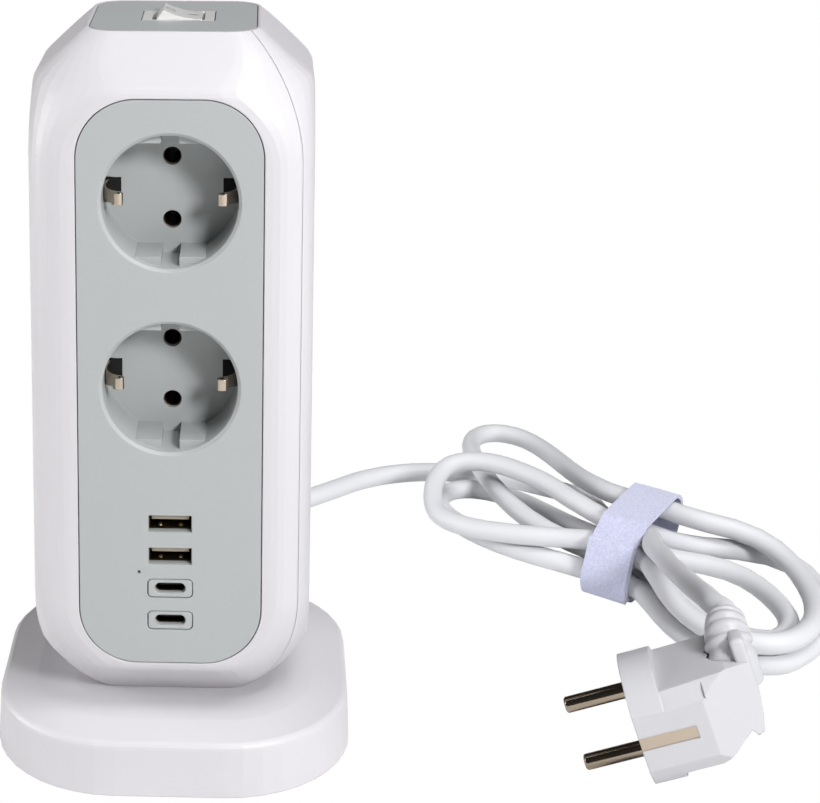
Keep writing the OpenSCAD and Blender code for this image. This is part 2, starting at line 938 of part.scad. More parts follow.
// Hank: two and a half loops about a waist, where the strap draws the strands into a slanting
// stack. Each loop has its own reach, lean and swell, and the later ones lie on the earlier.
hank_mid = [160 * unit, 96 * unit];
hank_turn = -48.5;
hank_start = 0.25;
hank_end = 2.75;
strand_step = 8.4 * unit;
waist_half = 16.8 * unit;
low_shift = 4.1 * unit;
layer_low = 4.1 * unit;
layer_step = 8 * unit;
stack_slope = 0.34;
waist_skew = 0.2;
tied_share = 0.1;
left_reach = [0, hank_left - 19 * unit, hank_left];
left_lean = [0, 0, 38 * unit];
left_swell = [0, 33 * unit, 35 * unit];
right_reach = [hank_right - 1 * unit, hank_right - 9 * unit, hank_right];
right_lean = [-12 * unit, -9 * unit, -12 * unit];
right_lift = [0, 3 * unit, 0];
rear_swell = [62 * unit, 34 * unit, 37 * unit];
front_swell = [23 * unit, 14 * unit, 29 * unit];
left_soft = 0.2;
rear_soft = 0.1;
front_soft = 0.12;
climb_from = 1.74;
climb_share = 0.18;
nest_from = 1.9;
nest_share = 0.2;
hank_rings = 24;
ring_step = 1 / hank_rings;
hank_sides = 6;
function in_hank(u, v, z) = [hank_mid[0] + u * cos(hank_turn) - v * sin(hank_turn),
    hank_mid[1] + u * sin(hank_turn) + v * cos(hank_turn), z];
function ease(t) = let (c = min(max(t, 0), 1)) c * c * (3 - 2 * c);
function climb(s) = ease((s - climb_from) / climb_share);
function nest(s) = s - 2 * ease((s - nest_from) / nest_share);
function free_share(c) = max(abs(c) - tied_share, 0);
function swell(c, e, i) = let (f = free_share(c), g = pow(f, 2))
    c < 0 ? left_swell[i] * g / (f + left_soft)
    : e > 0 ? rear_swell[i] * g / (g + rear_soft)
    : front_swell[i] * g / (g + front_soft);
function loop_point(s) = let (t = 180 - 360 * s, c = cos(t), e = sin(t), left = c < 0,
    i = left ? round(s) : floor(s), u = (left ? left_reach[i] : right_reach[i]) * c,
    shift = low_shift * (1 - climb(s)), w = e * (waist_half - strand_step * nest(s)) - shift,
    lean = (left ? left_lean[i] : right_lean[i]) * pow(free_share(c) / (1 - tied_share), 1.5))
    in_hank(u, w + e * swell(c, e, i) + shift * pow(c, 2) + lean
        + waist_skew * u * pow(1 - pow(c, 2), 4),
        layer_low + layer_step * climb(s) + (left ? 0 : right_lift[i] * pow(c, 2))
        + stack_slope * (w + waist_half + low_shift) * pow(1 - pow(c, 2), 3));
hank_path = [for (s = [hank_start, each [hank_start + ring_step / 2:ring_step:hank_end], hank_end])
    loop_point(s)];

// Least gap between strands more than a quarter loop apart
quarter = hank_rings / 4;
hank_gap = min([for (i = [0:len(hank_path) - 1 - quarter]) for (j = [i + quarter:len(hank_path) - 1])
    norm(hank_path[i] - hank_path[j])]) - cord_d;
echo(hank_gap = hank_gap, hank_length = run_length(hank_path));

// The lead before and after the hank runs straight on from the hank's ends
straight = 5 * unit;
function before_hank(k) = hank_path[0] - k * straight * heading(hank_path, 0);
function after_hank(k) = let (n = len(hank_path) - 1) hank_path[n] + k * straight * heading(hank_path, n);
relief_tip = [0, base_half + relief_l, relief_z];
tube_places = [relief_tip, [0, 92 * unit, 9.2 * unit], [0.4 * unit, 101 * unit, 6.6 * unit],
    [1.6 * unit, 112 * unit, 4.4 * unit], [6 * unit, 123 * unit, 4 * unit],
    [14 * unit, 133 * unit, 4 * unit], [27 * unit, 143 * unit, 4 * unit],
    [41 * unit, 152 * unit, 4 * unit], [54 * unit, 163 * unit, 4 * unit],
    [67 * unit, 174 * unit, 4 * unit], [82 * unit, 181 * unit, 4 * unit],
    [99 * unit, 183 * unit, 4 * unit], [118 * unit, 180 * unit, 4.2 * unit],
    [137 * unit, 168 * unit, 5 * unit], in_hank(-45 * unit, 28 * unit, 8.5 * unit),
    in_hank(-25 * unit, 14 * unit, 12.5 * unit), before_hank(2), before_hank(1), before_hank(0)];

// Plug frame: +X goes into the plug from its face, the pins lie one above the other
plug_at = [138.6 * unit, -34.6 * unit, 18.4 * unit];
plug_turn = [-2, -20, -5.5];
function about_x(p, a) = [p[0], p[1] * cos(a) - p[2] * sin(a), p[1] * sin(a) + p[2] * cos(a)];
function about_y(p, a) = [p[0] * cos(a) + p[2] * sin(a), p[1], p[2] * cos(a) - p[0] * sin(a)];
function about_z(p, a) = [p[0] * cos(a) - p[1] * sin(a), p[0] * sin(a) + p[1] * cos(a), p[2]];
function in_plug(p) = plug_at + about_z(about_y(about_x(p, plug_turn[0]), plug_turn[1]), plug_turn[2]);

// Axis of the plug's kink guard: it rises out of the body, then bends to the rear
guard_foot = [31.8 * unit, -0.5 * unit, 3.4 * unit];
guard_rise = 4.5 * unit;
guard_bend = 9 * unit;
guard_turn = 82;
guard_tail = 4 * unit;
guard_drift = 1.6 * unit;
guard_arc = guard_bend * guard_turn * PI / 180;
guard_l = guard_rise + guard_arc + guard_tail;
function guard_angle(h) = min(max(h - guard_rise, 0) / guard_arc, 1) * guard_turn;
function guard_point(h, out = [0, 0]) = let (a = guard_angle(h), tail = max(h - guard_rise - guard_arc, 0))
    in_plug(guard_foot + [guard_drift * max(h - guard_rise, 0) / (guard_l - guard_rise) + out[0],
        guard_bend * (1 - cos(a)) + tail * sin(a) + out[1] * cos(a),
        min(h, guard_rise) + guard_bend * sin(a) + tail * cos(a) - out[1] * sin(a)]);
guard_end = guard_point(guard_l);
guard_way = unitv(guard_end - guard_point(guard_l - 1 * unit));
lead_in = 3 * unit;
lead_places = [after_hank(0), after_hank(1), after_hank(2),
    in_hank(-18 * unit, -15 * unit, 14.4 * unit), in_hank(-33 * unit, -24 * unit, 13.2 * unit),
    in_hank(-53 * unit, -30 * unit, 11 * unit), in_hank(-69 * unit, -29 * unit, 11 * unit),
    in_hank(-80 * unit, -19 * unit, 16 * unit), in_hank(-82 * unit, -7 * unit, 20 * unit),
    in_hank(-70 * unit, 2 * unit, 22 * unit), in_hank(-47 * unit, 3 * unit, 22.5 * unit),
    in_hank(-28 * unit, 0, 21.5 * unit), in_hank(-12 * unit, -1 * unit, 20 * unit),
    in_hank(0, -1.5 * unit, 20 * unit), in_hank(10 * unit, -3.4 * unit, 20.8 * unit),
    in_hank(18 * unit, -12 * unit, 23.2 * unit), [163.6 * unit, 60 * unit, 26 * unit],
    [162.9 * unit, 46 * unit, 29.6 * unit], [163.1 * unit, 31 * unit, 33.6 * unit],
    [163.2 * unit, 17 * unit, 37.3 * unit], [163.3 * unit, 4 * unit, 41 * unit],
    [163.3 * unit, -7 * unit, 44.4 * unit], [163.8 * unit, -15 * unit, 46 * unit],
    guard_end + straight * guard_way, guard_end, guard_end - lead_in * guard_way];
tube_path = whole_path(tube_places, 2);
lead_path = whole_path(lead_places, 2);
echo(cord_length = run_length(tube_path) + run_length(hank_path) + run_length(lead_path));

module cord_tube() {
    color("whitesmoke")
        sweep(tube_path, cord_d, 8);
}

module cord_hank() {
    color("whitesmoke")
        sweep(hank_path, cord_d, hank_sides);
}

module plug_lead() {
    color("whitesmoke")
        sweep(lead_path, cord_d, 8);
}

strap_l = 17 * unit;
strap_t = 1.4 * unit;
strap_room = 1 * unit;
waist_corners = [[-15, 6.3], [10.6, 14.7], [15.3, 24.1], [-4.5, 20.8], [-10.8, 15.6]];

// Strap: a flat band stretched round the stack of strands and the lead on top of it
module band_shape(grow) {
    hull()
        for (p = waist_corners)
            translate(p * unit)
                circle(d = cord_d + 2 * grow, $fn = 32);
}

module hank_strap() {
    color("lavender")
        translate([hank_mid[0], hank_mid[1], 0])
            rotate([90, 0, hank_turn + 90 + atan(waist_skew)])
                translate([0, 0, -strap_l / 2])
                    linear_extrude(strap_l)
                        difference() {
                            band_shape(strap_room + strap_t);
                            band_shape(strap_room);
                        }
}

// Plug: round face with two flats, a mid part as thick as the face and a back that tapers
face_t = 9.5 * unit;
plug_flat = 17 * unit;
mid_end = 21 * unit;
plug_back = 37 * unit;
back_half = 8.5 * unit;
pin_in = 8 * unit;
edge_strip_w = 4 * unit;
strip_deep = 1.2 * unit;
strip_t = 0.8 * unit;
strip_l = 17 * unit;
scoop_r = 9 * unit;
scoop_at = [9.5 * unit, 22.5 * unit, 15.5 * unit];
scoop_l = 12.5 * unit;
guard_room = 0.3 * unit;
body_outline = [[0, -13.2 * unit], [mid_end, -13 * unit], [31.5 * unit, -6.5 * unit],
    [33 * unit, -9 * unit], [34.8 * unit, -8.6 * unit], [36 * unit, -4 * unit],
    [plug_back, 3 * unit], [36.5 * unit, 12.5 * unit], [29.5 * unit, 14 * unit], [0, 12.6 * unit]];

module in_plug_frame() {
    translate(plug_at)
        rotate(plug_turn)
            children();
}

module along_x() {
    rotate([0, 90, 0])
        children();
}

module plug_body() {
    color("whitesmoke")
        difference() {
            in_plug_frame()
                plug_block();
            stack([for (row = guard_rows) guard_ring(row[0], row[1] + guard_room)]);
        }
}

module plug_block() {
    difference() {
        intersection() {
            union() {
                along_x()
                    cylinder(d = plug_d, h = face_t);
                rotate([90, 0, 0])
                    linear_extrude(2 * plug_flat, center = true)
                        polygon(body_outline);
            }
            along_x()
                cylinder(d = plug_d, h = plug_back + over);
            linear_extrude(2 * plug_d, center = true)
                polygon([[0, -plug_flat], [mid_end, -plug_flat], [plug_back, -back_half],
                    [plug_back, back_half], [mid_end, plug_flat], [0, plug_flat]]);
        }
        for (s = [-1, 1]) {
            translate([-over, 0, s * pin_pitch / 2])
                along_x()
                    cylinder(d = plug_pin_d, h = pin_in + over);
            box([2 * strip_l, 2 * strip_deep, edge_strip_w], [0, s * plug_flat, 0]);
            translate([scoop_at[0], s * scoop_at[1], scoop_at[2]])
                along_x()
                    cylinder(r = scoop_r, h = scoop_l);
        }
    }
}

// Kink guard: a block in the body, then tapering ribs and a mouth for the lead
guard_r = 7.4 * unit;
guard_top_r = 5.7 * unit;
guard_neck = 0.8 * unit;
guard_sides = 24;
rib_count = 4;
rib_start = 9.6 * unit;
rib_pitch = (guard_l - rib_start) / rib_count;
rib_slope = 0.3 * unit;
rib_gap = 0.9 * unit;
mouth_room = 0.2 * unit;
function rib_r(h) = guard_r + (guard_top_r - guard_r) * max(h - rib_start, 0) / (guard_l - rib_start);
guard_rows = concat([[0, guard_r], [guard_rise, guard_r], [(guard_rise + rib_start) / 2, guard_r],
    [rib_start - rib_slope, guard_r]],
    [for (i = [0:rib_count - 1]) let (h = rib_start + i * rib_pitch) each [[h, rib_r(h) - guard_neck],
        [h + rib_gap, rib_r(h) - guard_neck], [h + rib_gap + rib_slope, rib_r(h)],
        [h + rib_pitch - rib_slope, rib_r(h + rib_pitch)]]]);
function guard_ring(h, r) = [for (j = [0:guard_sides - 1]) let (a = 360 * j / guard_sides)
    guard_point(h, [r * cos(a), r * sin(a)])];

module plug_relief() {
    color("whitesmoke")
        difference() {
            stack([for (row = guard_rows) guard_ring(row[0], row[1])]);
            sweep([guard_end - (lead_in + straight) * guard_way, guard_end + straight * guard_way],
                cord_d + mouth_room, guard_sides);
        }
}

pin_round = 1 * unit;

module plug_pins() {
    color("silver")
        in_plug_frame()
            for (s = [-1, 1])
                translate([0, 0, s * pin_pitch / 2])
                    along_x() {
                        translate([0, 0, pin_round - plug_pin_l])
                            cylinder(d = plug_pin_d, h = plug_pin_l - pin_round + pin_in);
                        translate([0, 0, -plug_pin_l])
                            cylinder(d1 = plug_pin_d - pin_round, d2 = plug_pin_d, h = pin_round);
                    }
}

module plug_earth_strips() {
    color("silver")
        in_plug_frame()
            for (s = [-1, 1])
                box([strip_l, strip_t, edge_strip_w],
                    [strip_l / 2, s * (plug_flat - strip_deep + strip_t / 2), 0]);
}

front_left_casing();
rear_right_casing();
front_panel();
right_panel();
rear_panel();
left_panel();
top_panel();
switch_frame();
switch_rocker();
switch_body();
switch_terminals();
base_shell();
base_plate();
rubber_feet();
base_screws();
tower_screws();
line_busbar();
neutral_busbar();
earth_busbar();
earth_clips();
contact_carrier();
usb_a_shells();
usb_a_tongues();
usb_c_surrounds();
usb_c_shells();
usb_c_tongues();
usb_board();
charge_light();
surge_board();
varistors();
usb_supply_board();
supply_parts();
cord_relief();
cord_clamp();
clamp_screws();
inner_leads();
cord_tube();
cord_hank();
plug_lead();
hank_strap();
plug_body();
plug_relief();
plug_pins();
plug_earth_strips();
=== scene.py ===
"""Desk power tower with recessed sockets, a tied mains lead and an angled plug.

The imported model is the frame. This add-on gives every piece its finish and builds the
pieces whose look needs more than the solids: mains lead, strap, the plug's guard and
pins, charging ports, earth clips and switch marks. All lengths are in metres.
"""

import math

import bmesh
import bpy
from mathutils import Euler, Matrix, Vector


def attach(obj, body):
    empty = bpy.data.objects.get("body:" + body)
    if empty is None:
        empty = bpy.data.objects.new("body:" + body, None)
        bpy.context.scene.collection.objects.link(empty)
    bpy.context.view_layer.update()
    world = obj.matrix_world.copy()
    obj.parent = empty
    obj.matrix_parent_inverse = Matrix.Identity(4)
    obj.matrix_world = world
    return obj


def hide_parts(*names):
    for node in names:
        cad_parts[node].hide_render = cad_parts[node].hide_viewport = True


bl_info = {
    "name": "Power Tower",
    "version": (1, 0, 0),
    "blender": (4, 5, 0),
    "location": "View3D > Sidebar > Power Tower",
    "description": "Builds the finish, lead, plug details and ports of a desk power tower",
    "category": "Add Mesh",
}

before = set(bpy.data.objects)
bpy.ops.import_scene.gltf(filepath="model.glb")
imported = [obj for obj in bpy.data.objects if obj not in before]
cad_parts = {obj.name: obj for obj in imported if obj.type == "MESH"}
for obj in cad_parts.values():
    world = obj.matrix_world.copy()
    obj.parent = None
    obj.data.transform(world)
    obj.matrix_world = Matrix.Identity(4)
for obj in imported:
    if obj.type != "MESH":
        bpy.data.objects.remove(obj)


# Sizes and colours that the panel shows

class PowerTowerSizes(bpy.types.PropertyGroup):
    """Sizes of the lead and its strap"""
    cord_d: bpy.props.FloatProperty(
        name="Lead diameter", description="Outside of the lead's jacket",
        default=0.0072, unit="LENGTH")
    strap_l: bpy.props.FloatProperty(
        name="Strap width", description="Width of the strap along the hank",
        default=0.017, unit="LENGTH")
    strap_t: bpy.props.FloatProperty(
        name="Strap thickness", description="Thickness of the strap's tape, nap included",
        default=0.0014, unit="LENGTH")


class PowerTowerColours(bpy.types.PropertyGroup):
    """Base colours of the finishes"""
    white: bpy.props.FloatVectorProperty(
        name="White casing", description="Casing halves, base shell and base plate",
        subtype="COLOR", size=3, default=(0.58, 0.565, 0.59))
    grey: bpy.props.FloatVectorProperty(
        name="Grey panel", description="Face panels, top panel and port frames",
        subtype="COLOR", size=3, default=(0.385, 0.40, 0.402))
    lead: bpy.props.FloatVectorProperty(
        name="Lead", description="Jacket of the mains lead and its relief",
        subtype="COLOR", size=3, default=(0.62, 0.625, 0.65))
    strap: bpy.props.FloatVectorProperty(
        name="Strap", description="Loop tape of the hank strap",
        subtype="COLOR", size=3, default=(0.50, 0.51, 0.67))
    metal: bpy.props.FloatVectorProperty(
        name="Plated metal", description="Plating of the plug's pins",
        subtype="COLOR", size=3, default=(0.37, 0.305, 0.235))


# Tower sizes that the small pieces share with the solids

TOWER_HALF = 0.041
LEVELS = (0.0668, 0.122, 0.1772)
PORT_LEVEL, PORT_SIDE = 0, 0  # no socket here, the ports take its place
WELL_R = 0.0195
WELL_BACK = 0.0176
USB_C = (0.0504, 0.0605)
USB_A = (0.0706, 0.0807)
LIGHT = (-0.0091, 0.0655)
SWITCH_X = 0.001
ROCKER_Z = 0.21945
ROCKER_TILT = math.radians(13)
DIP_R = 0.0236
DIP_Z = 0.0285


# Mesh and node helpers

def new_object(name, mesh, body, finish, smooth=40):
    """Links a piece that rides on a body and shades smoothly below an angle in degrees"""
    obj = bpy.data.objects.new(name, mesh)
    bpy.context.scene.collection.objects.link(obj)
    if obj.type == "MESH":
        for p in mesh.polygons:
            p.use_smooth = True
        mesh.set_sharp_from_angle(angle=math.radians(smooth))
    mesh.materials.clear()
    mesh.materials.append(finish)
    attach(obj, body)
    return obj


def finished(name, bm):
    """Mesh with outward normals from a bmesh, which is freed"""
    bmesh.ops.recalc_face_normals(bm, faces=bm.faces)
    mesh = bpy.data.meshes.new(name)
    bm.to_mesh(mesh)
    bm.free()
    return mesh


def angles(n):
    """Full turn in n steps"""
    return [2 * math.pi * j / n for j in range(n)]


def bridged(bm, rings, closed=False):
    """Bridges stacked circles, then lays each of them on its ring of points"""
    places, loops = [], []
    for level, ring in enumerate(rings):
        verts = bmesh.ops.create_circle(bm, segments=len(ring), radius=1,
                                        matrix=Matrix.Translation((0, 0, level)))["verts"]
        loops.append([bm.edges.get(pair) for pair in zip(verts, verts[1:] + verts[:1])])
        places += zip(verts, ring)
    following = loops[1:] + (loops[:1] if closed else [])
    for near, far in zip(loops, following):
        bmesh.ops.bridge_loops(bm, edges=near + far)
    for vert, place in places:
        vert.co = place
    return loops


def tube(bm, rings):
    """Solid through rings of equal point count, filled at both ends"""
    loops = bridged(bm, rings)
    for end in (loops[0], loops[-1]):
        bmesh.ops.edgeloop_fill(bm, edges=end)


def collar(bm, rings):
    """Ring-shaped solid, whose last ring joins the first"""
    bridged(bm, rings, closed=True)


def corners(half_w, half_h, r, n):
    """Rounded rectangle about its middle, from the half sizes to the corners' centres"""
    out = []
    for q, (sx, sy) in enumerate(((1, 1), (-1, 1), (-1, -1), (1, -1))):
        for k in range(n + 1):
            t = math.pi / 2 * (q + k / n)
            out.append((sx * half_w + r * math.cos(t), sy * half_h + r * math.sin(t)))
    return out


def rounded(w, h, r, z, depth, n=6):
    """Rounded rectangle in a plane behind the front face, as points in order"""
    return [(x, depth - TOWER_HALF, z + up) for x, up in corners(w / 2 - r, h / 2 - r, r, n)]


# Colour sockets of the mix node, whose names repeat for each data type

MIX_A, MIX_B, MIX_OUT = 6, 7, 2


class Nodes:
    """Small builder for a procedural material on object coordinates"""

    def __init__(self, name):
        self.mat = bpy.data.materials.new(name)
        self.mat.use_nodes = True
        self.tree = self.mat.node_tree
        self.bsdf = self.tree.nodes["Principled BSDF"]
        self.coord = self.tree.nodes.new("ShaderNodeTexCoord").outputs["Object"]

    def add(self, kind, **values):
        """Adds a node and sets its properties"""
        node = self.tree.nodes.new(kind)
        for key, value in values.items():
            setattr(node, key, value)
        return node

    def link(self, a, b):
        """Joins an output to an input"""
        self.tree.links.new(a, b)

    def noise(self, scale, detail=2.0, rough=0.5):
        """Noise factor at a scale in cells per metre"""
        node = self.add("ShaderNodeTexNoise")
        node.inputs["Scale"].default_value = scale
        node.inputs["Detail"].default_value = detail
        node.inputs["Roughness"].default_value = rough
        self.link(self.coord, node.inputs["Vector"])
        return node.outputs["Fac"]

    def ramp(self, factor, low, high):
        """Maps a factor between two values"""
        node = self.add("ShaderNodeMapRange")
        node.inputs["To Min"].default_value = low
        node.inputs["To Max"].default_value = high
        self.link(factor, node.inputs["Value"])
        return node.outputs["Result"]

    def mix(self, factor, a, b):
        """Blends two colours by a factor"""
        node = self.add("ShaderNodeMix", data_type="RGBA")
        node.inputs[MIX_A].default_value = (*a, 1)
        node.inputs[MIX_B].default_value = (*b, 1)
        self.link(factor, node.inputs["Factor"])
        return node.outputs[MIX_OUT]

    def edge(self, radius):
        """Normal that rounds sharp edges"""
        node = self.add("ShaderNodeBevel", samples=6)
        node.inputs["Radius"].default_value = radius
        return node.outputs["Normal"]

    def bump(self, height, strength, distance, normal=None):
        """Adds a bump on top of a normal"""
        node = self.add("ShaderNodeBump")
        node.inputs["Strength"].default_value = strength
        node.inputs["Distance"].default_value = distance
        self.link(height, node.inputs["Height"])
        if normal is not None:
            self.link(normal, node.inputs["Normal"])
        return node.outputs["Normal"]


def shade(colour, factor):
    """Colour scaled by a factor"""
    return tuple(min(1.0, c * factor) for c in colour)


def plastic(name, colour, rough, grain, edge=0.0003, tone=0.97, coat=0.0):
    """Moulded plastic: spark-eroded grain, slight mottling and softly rounded edges"""
    n = Nodes(name)
    mottle, wear, sparks = n.noise(35, 3), n.noise(900, 3), n.noise(3200, 2)
    n.link(n.mix(mottle, shade(colour, tone), colour), n.bsdf.inputs["Base Color"])
    n.link(n.ramp(wear, rough - 0.04, rough + 0.06), n.bsdf.inputs["Roughness"])
    n.link(n.bump(sparks, grain, 0.00004, n.edge(edge)), n.bsdf.inputs["Normal"])
    n.bsdf.inputs["Specular IOR Level"].default_value = 0.45
    n.bsdf.inputs["Coat Weight"].default_value = coat
    n.bsdf.inputs["Coat Roughness"].default_value = 0.2
    return n.mat


def metal(name, colour, rough, brushed=0.15, edge=0.0002):
    """Plated metal: fine drawn lines, faint stains and rounded edges"""
    n = Nodes(name)
    n.bsdf.inputs["Metallic"].default_value = 1.0
    stretch = n.add("ShaderNodeMapping")
    stretch.inputs["Scale"].default_value = (1, 1, 12)
    n.link(n.coord, stretch.inputs["Vector"])
    lines = n.add("ShaderNodeTexNoise")
    lines.inputs["Scale"].default_value = 900
    lines.inputs["Detail"].default_value = 3
    n.link(stretch.outputs["Vector"], lines.inputs["Vector"])
    stains = n.noise(140, 4)
    n.link(n.mix(stains, shade(colour, 0.82), colour), n.bsdf.inputs["Base Color"])
    n.link(n.ramp(lines.outputs["Fac"], rough - 0.06, rough + 0.08), n.bsdf.inputs["Roughness"])
    n.link(n.bump(lines.outputs["Fac"], brushed, 0.00003, n.edge(edge)), n.bsdf.inputs["Normal"])
    return n.mat


def felt(name, colour):
    """Brushed loop felt of the strap: fuzzy fibres, sheen and short nap"""
    n = Nodes(name)
    fibres, nap = n.noise(1300, 6, 0.75), n.noise(300, 3)
    spread = n.ramp(fibres, -0.9, 1.9)
    n.link(n.mix(spread, shade(colour, 0.88), shade(colour, 1.22)), n.bsdf.inputs["Base Color"])
    n.bsdf.inputs["Roughness"].default_value = 0.95
    n.bsdf.inputs["Sheen Weight"].default_value = 0.6
    n.bsdf.inputs["Sheen Roughness"].default_value = 0.4
    n.link(n.bump(fibres, 0.8, 0.0004, n.bump(nap, 0.6, 0.001)), n.bsdf.inputs["Normal"])
    return n.mat


def circuit(name, colour):
    """Lacquered circuit board with darker tracks"""
    n = Nodes(name)
    tracks = n.add("ShaderNodeTexBrick")
    tracks.inputs["Scale"].default_value = 160
    tracks.inputs["Mortar Size"].default_value = 0.03
    tracks.inputs["Color1"].default_value = (*colour, 1)
    tracks.inputs["Color2"].default_value = (*shade(colour, 0.9), 1)
    tracks.inputs["Mortar"].default_value = (*shade(colour, 1.6), 1)
    n.link(n.coord, tracks.inputs["Vector"])
    n.link(tracks.outputs["Color"], n.bsdf.inputs["Base Color"])
    n.bsdf.inputs["Roughness"].default_value = 0.3
    n.link(n.bump(n.noise(700, 3), 0.2, 0.00005), n.bsdf.inputs["Normal"])
    return n.mat


def finishes():
    """All finishes by name, made once"""
    c = bpy.context.scene.power_tower_colours
    return {
        "casing": plastic("casing", tuple(c.white), 0.42, 0.12, 0.0005),
        "panel": plastic("panel", tuple(c.grey), 0.48, 0.16, 0.0003),
        "gloss": plastic("gloss", (0.73, 0.725, 0.72), 0.22, 0.03, 0.0004, coat=0.4),
        "lead": plastic("lead", tuple(c.lead), 0.5, 0.2, 0.0003),
        "plug": plastic("plug", (0.52, 0.52, 0.545), 0.4, 0.12, 0.0006),
        "ivory": plastic("ivory", (0.72, 0.68, 0.58), 0.5, 0.1),
        "cream": plastic("cream", (0.5, 0.45, 0.35), 0.5, 0.1),
        # Near-black metal of the port shells: painted shade for the inside of the charging ports
        "shade_dark_shells": metal("shade_dark_shells", (0.09, 0.065, 0.04), 0.35),
        "gold": metal("gold", (0.75, 0.55, 0.3), 0.3),
        "dark": plastic("dark", (0.025, 0.025, 0.027), 0.5, 0.15),
        "rubber": plastic("rubber", (0.09, 0.09, 0.095), 0.8, 0.4),
        "mark": plastic("mark", (0.3, 0.3, 0.31), 0.5, 0.05),
        # Near-black busbar metal: painted shade that makes the pin holes look dark
        "shade_dark_contacts": metal("shade_dark_contacts", (0.10, 0.07, 0.05), 0.4),
        "springs": metal("springs", (0.5, 0.43, 0.35), 0.14),
        # Near-black for painted shade: the dark core of the pinhole and the openings behind the
        # earth strips
        "painted_shade_black": plastic("painted_shade_black", (0.002, 0.002, 0.002), 0.9, 0.02),
        "brass": metal("brass", (0.76, 0.6, 0.34), 0.3),
        "steel": metal("steel", (0.62, 0.62, 0.63), 0.28),
        "plated": metal("plated", tuple(c.metal), 0.13, 0.08),
        "strip": metal("strip", (0.56, 0.47, 0.38), 0.2, 0.08),
        "felt": felt("felt", tuple(c.strap)),
        "board": circuit("board", (0.02, 0.16, 0.07)),
        "disc": plastic("disc", (0.03, 0.11, 0.4), 0.25, 0.1),
    }


NODE_FINISH = {
    "casing": ["front_left_casing", "rear_right_casing", "base_shell", "base_plate"],
    "panel": ["front_panel", "right_panel", "rear_panel", "left_panel", "top_panel"],
    "gloss": ["switch_frame", "switch_rocker"],
    "lead": ["cord_relief", "inner_leads"],
    "ivory": ["contact_carrier", "cord_clamp"],
    "dark": ["switch_body", "supply_parts"],
    "rubber": ["rubber_feet"],
    # The busbars behind the pin holes take the near-black metal, painted shade for the holes
    "shade_dark_contacts": ["line_busbar", "neutral_busbar"],
    "brass": ["earth_busbar", "switch_terminals"],
    "steel": ["base_screws", "tower_screws", "clamp_screws"],
    "strip": ["plug_earth_strips"],
    "plug": ["plug_body"],
    "board": ["usb_board", "surge_board", "usb_supply_board"],
    "disc": ["varistors"],
}


# Route of the lead, as in the solids

HANK_MID = (0.160, 0.096)
HANK_TURN = math.radians(-48.5)
HANK_START = 0.25
HANK_END = 2.75
HANK_RINGS = 60
STRAND_STEP = 0.0084
WAIST_HALF = 0.0168
LOW_SHIFT = 0.0041
LAYER_LOW = 0.0041
LAYER_STEP = 0.008
STACK_SLOPE = 0.34
WAIST_SKEW = 0.2
TIED_SHARE = 0.1
CLIMB_FROM, CLIMB_SPAN = 1.74, 0.18
NEST_FROM, NEST_SPAN = 1.9, 0.2
LEFT_ROUNDING, REAR_ROUNDING, FRONT_ROUNDING = 0.2, 0.1, 0.12

# Loops on the base's side by reach, lean and width; on the plug's side by reach, lean,
# lift and the widths of the rear and front halves

LEFT_LOOPS = {1: (0.090, 0.0, 0.033), 2: (0.109, 0.038, 0.035)}
RIGHT_LOOPS = {0: (0.076, -0.012, 0.0, 0.062, 0.023),
               1: (0.068, -0.009, 0.003, 0.034, 0.014),
               2: (0.077, -0.012, 0.0, 0.037, 0.029)}
STRAIGHT = 0.005
LYING = 0.004
PATH_STEPS = 6
EXIT = Vector((0, 0.084, 0.0102))

# The plug as it lies, and its guard, post and pins in its own frame

PLUG_AT = Vector((0.1386, -0.0346, 0.0184))
PLUG_TURN = Euler((math.radians(-2), math.radians(-20), math.radians(-5.5)), "XYZ")
GUARD_FOOT = Vector((0.0318, -0.0005, 0.0034))
GUARD_RISE = 0.0045
GUARD_BEND = 0.009
GUARD_TURN = math.radians(82)
GUARD_TAIL = 0.004
GUARD_DRIFT = 0.0016
GUARD_ARC = GUARD_BEND * GUARD_TURN
GUARD_L = GUARD_RISE + GUARD_ARC + GUARD_TAIL
GUARD_R = 0.0074
GUARD_TAPER = 0.0017
GUARD_RIBS = 4
GUARD_RIBS_FROM = 0.0096
GUARD_GROOVE = 0.0009
POST_MID = (0.035, -0.0047)
POST_HALF = (0.002, 0.004)
POST_R = 0.0009
PIN_R = 0.0024
PIN_TIP = -0.019
PIN_NOSE = 0.0009
PIN_SIDES = (-0.0095, 0.0095)


def in_hank(u, v, z, turn=HANK_TURN):
    """Point in the hank's own frame, u towards the plug"""
    c, s = math.cos(turn), math.sin(turn)
    return Vector((HANK_MID[0] + u * c - v * s, HANK_MID[1] + u * s + v * c, z))


def ease(t):
    """Smooth step"""
    c = min(max(t, 0.0), 1.0)
    return c * c * (3 - 2 * c)


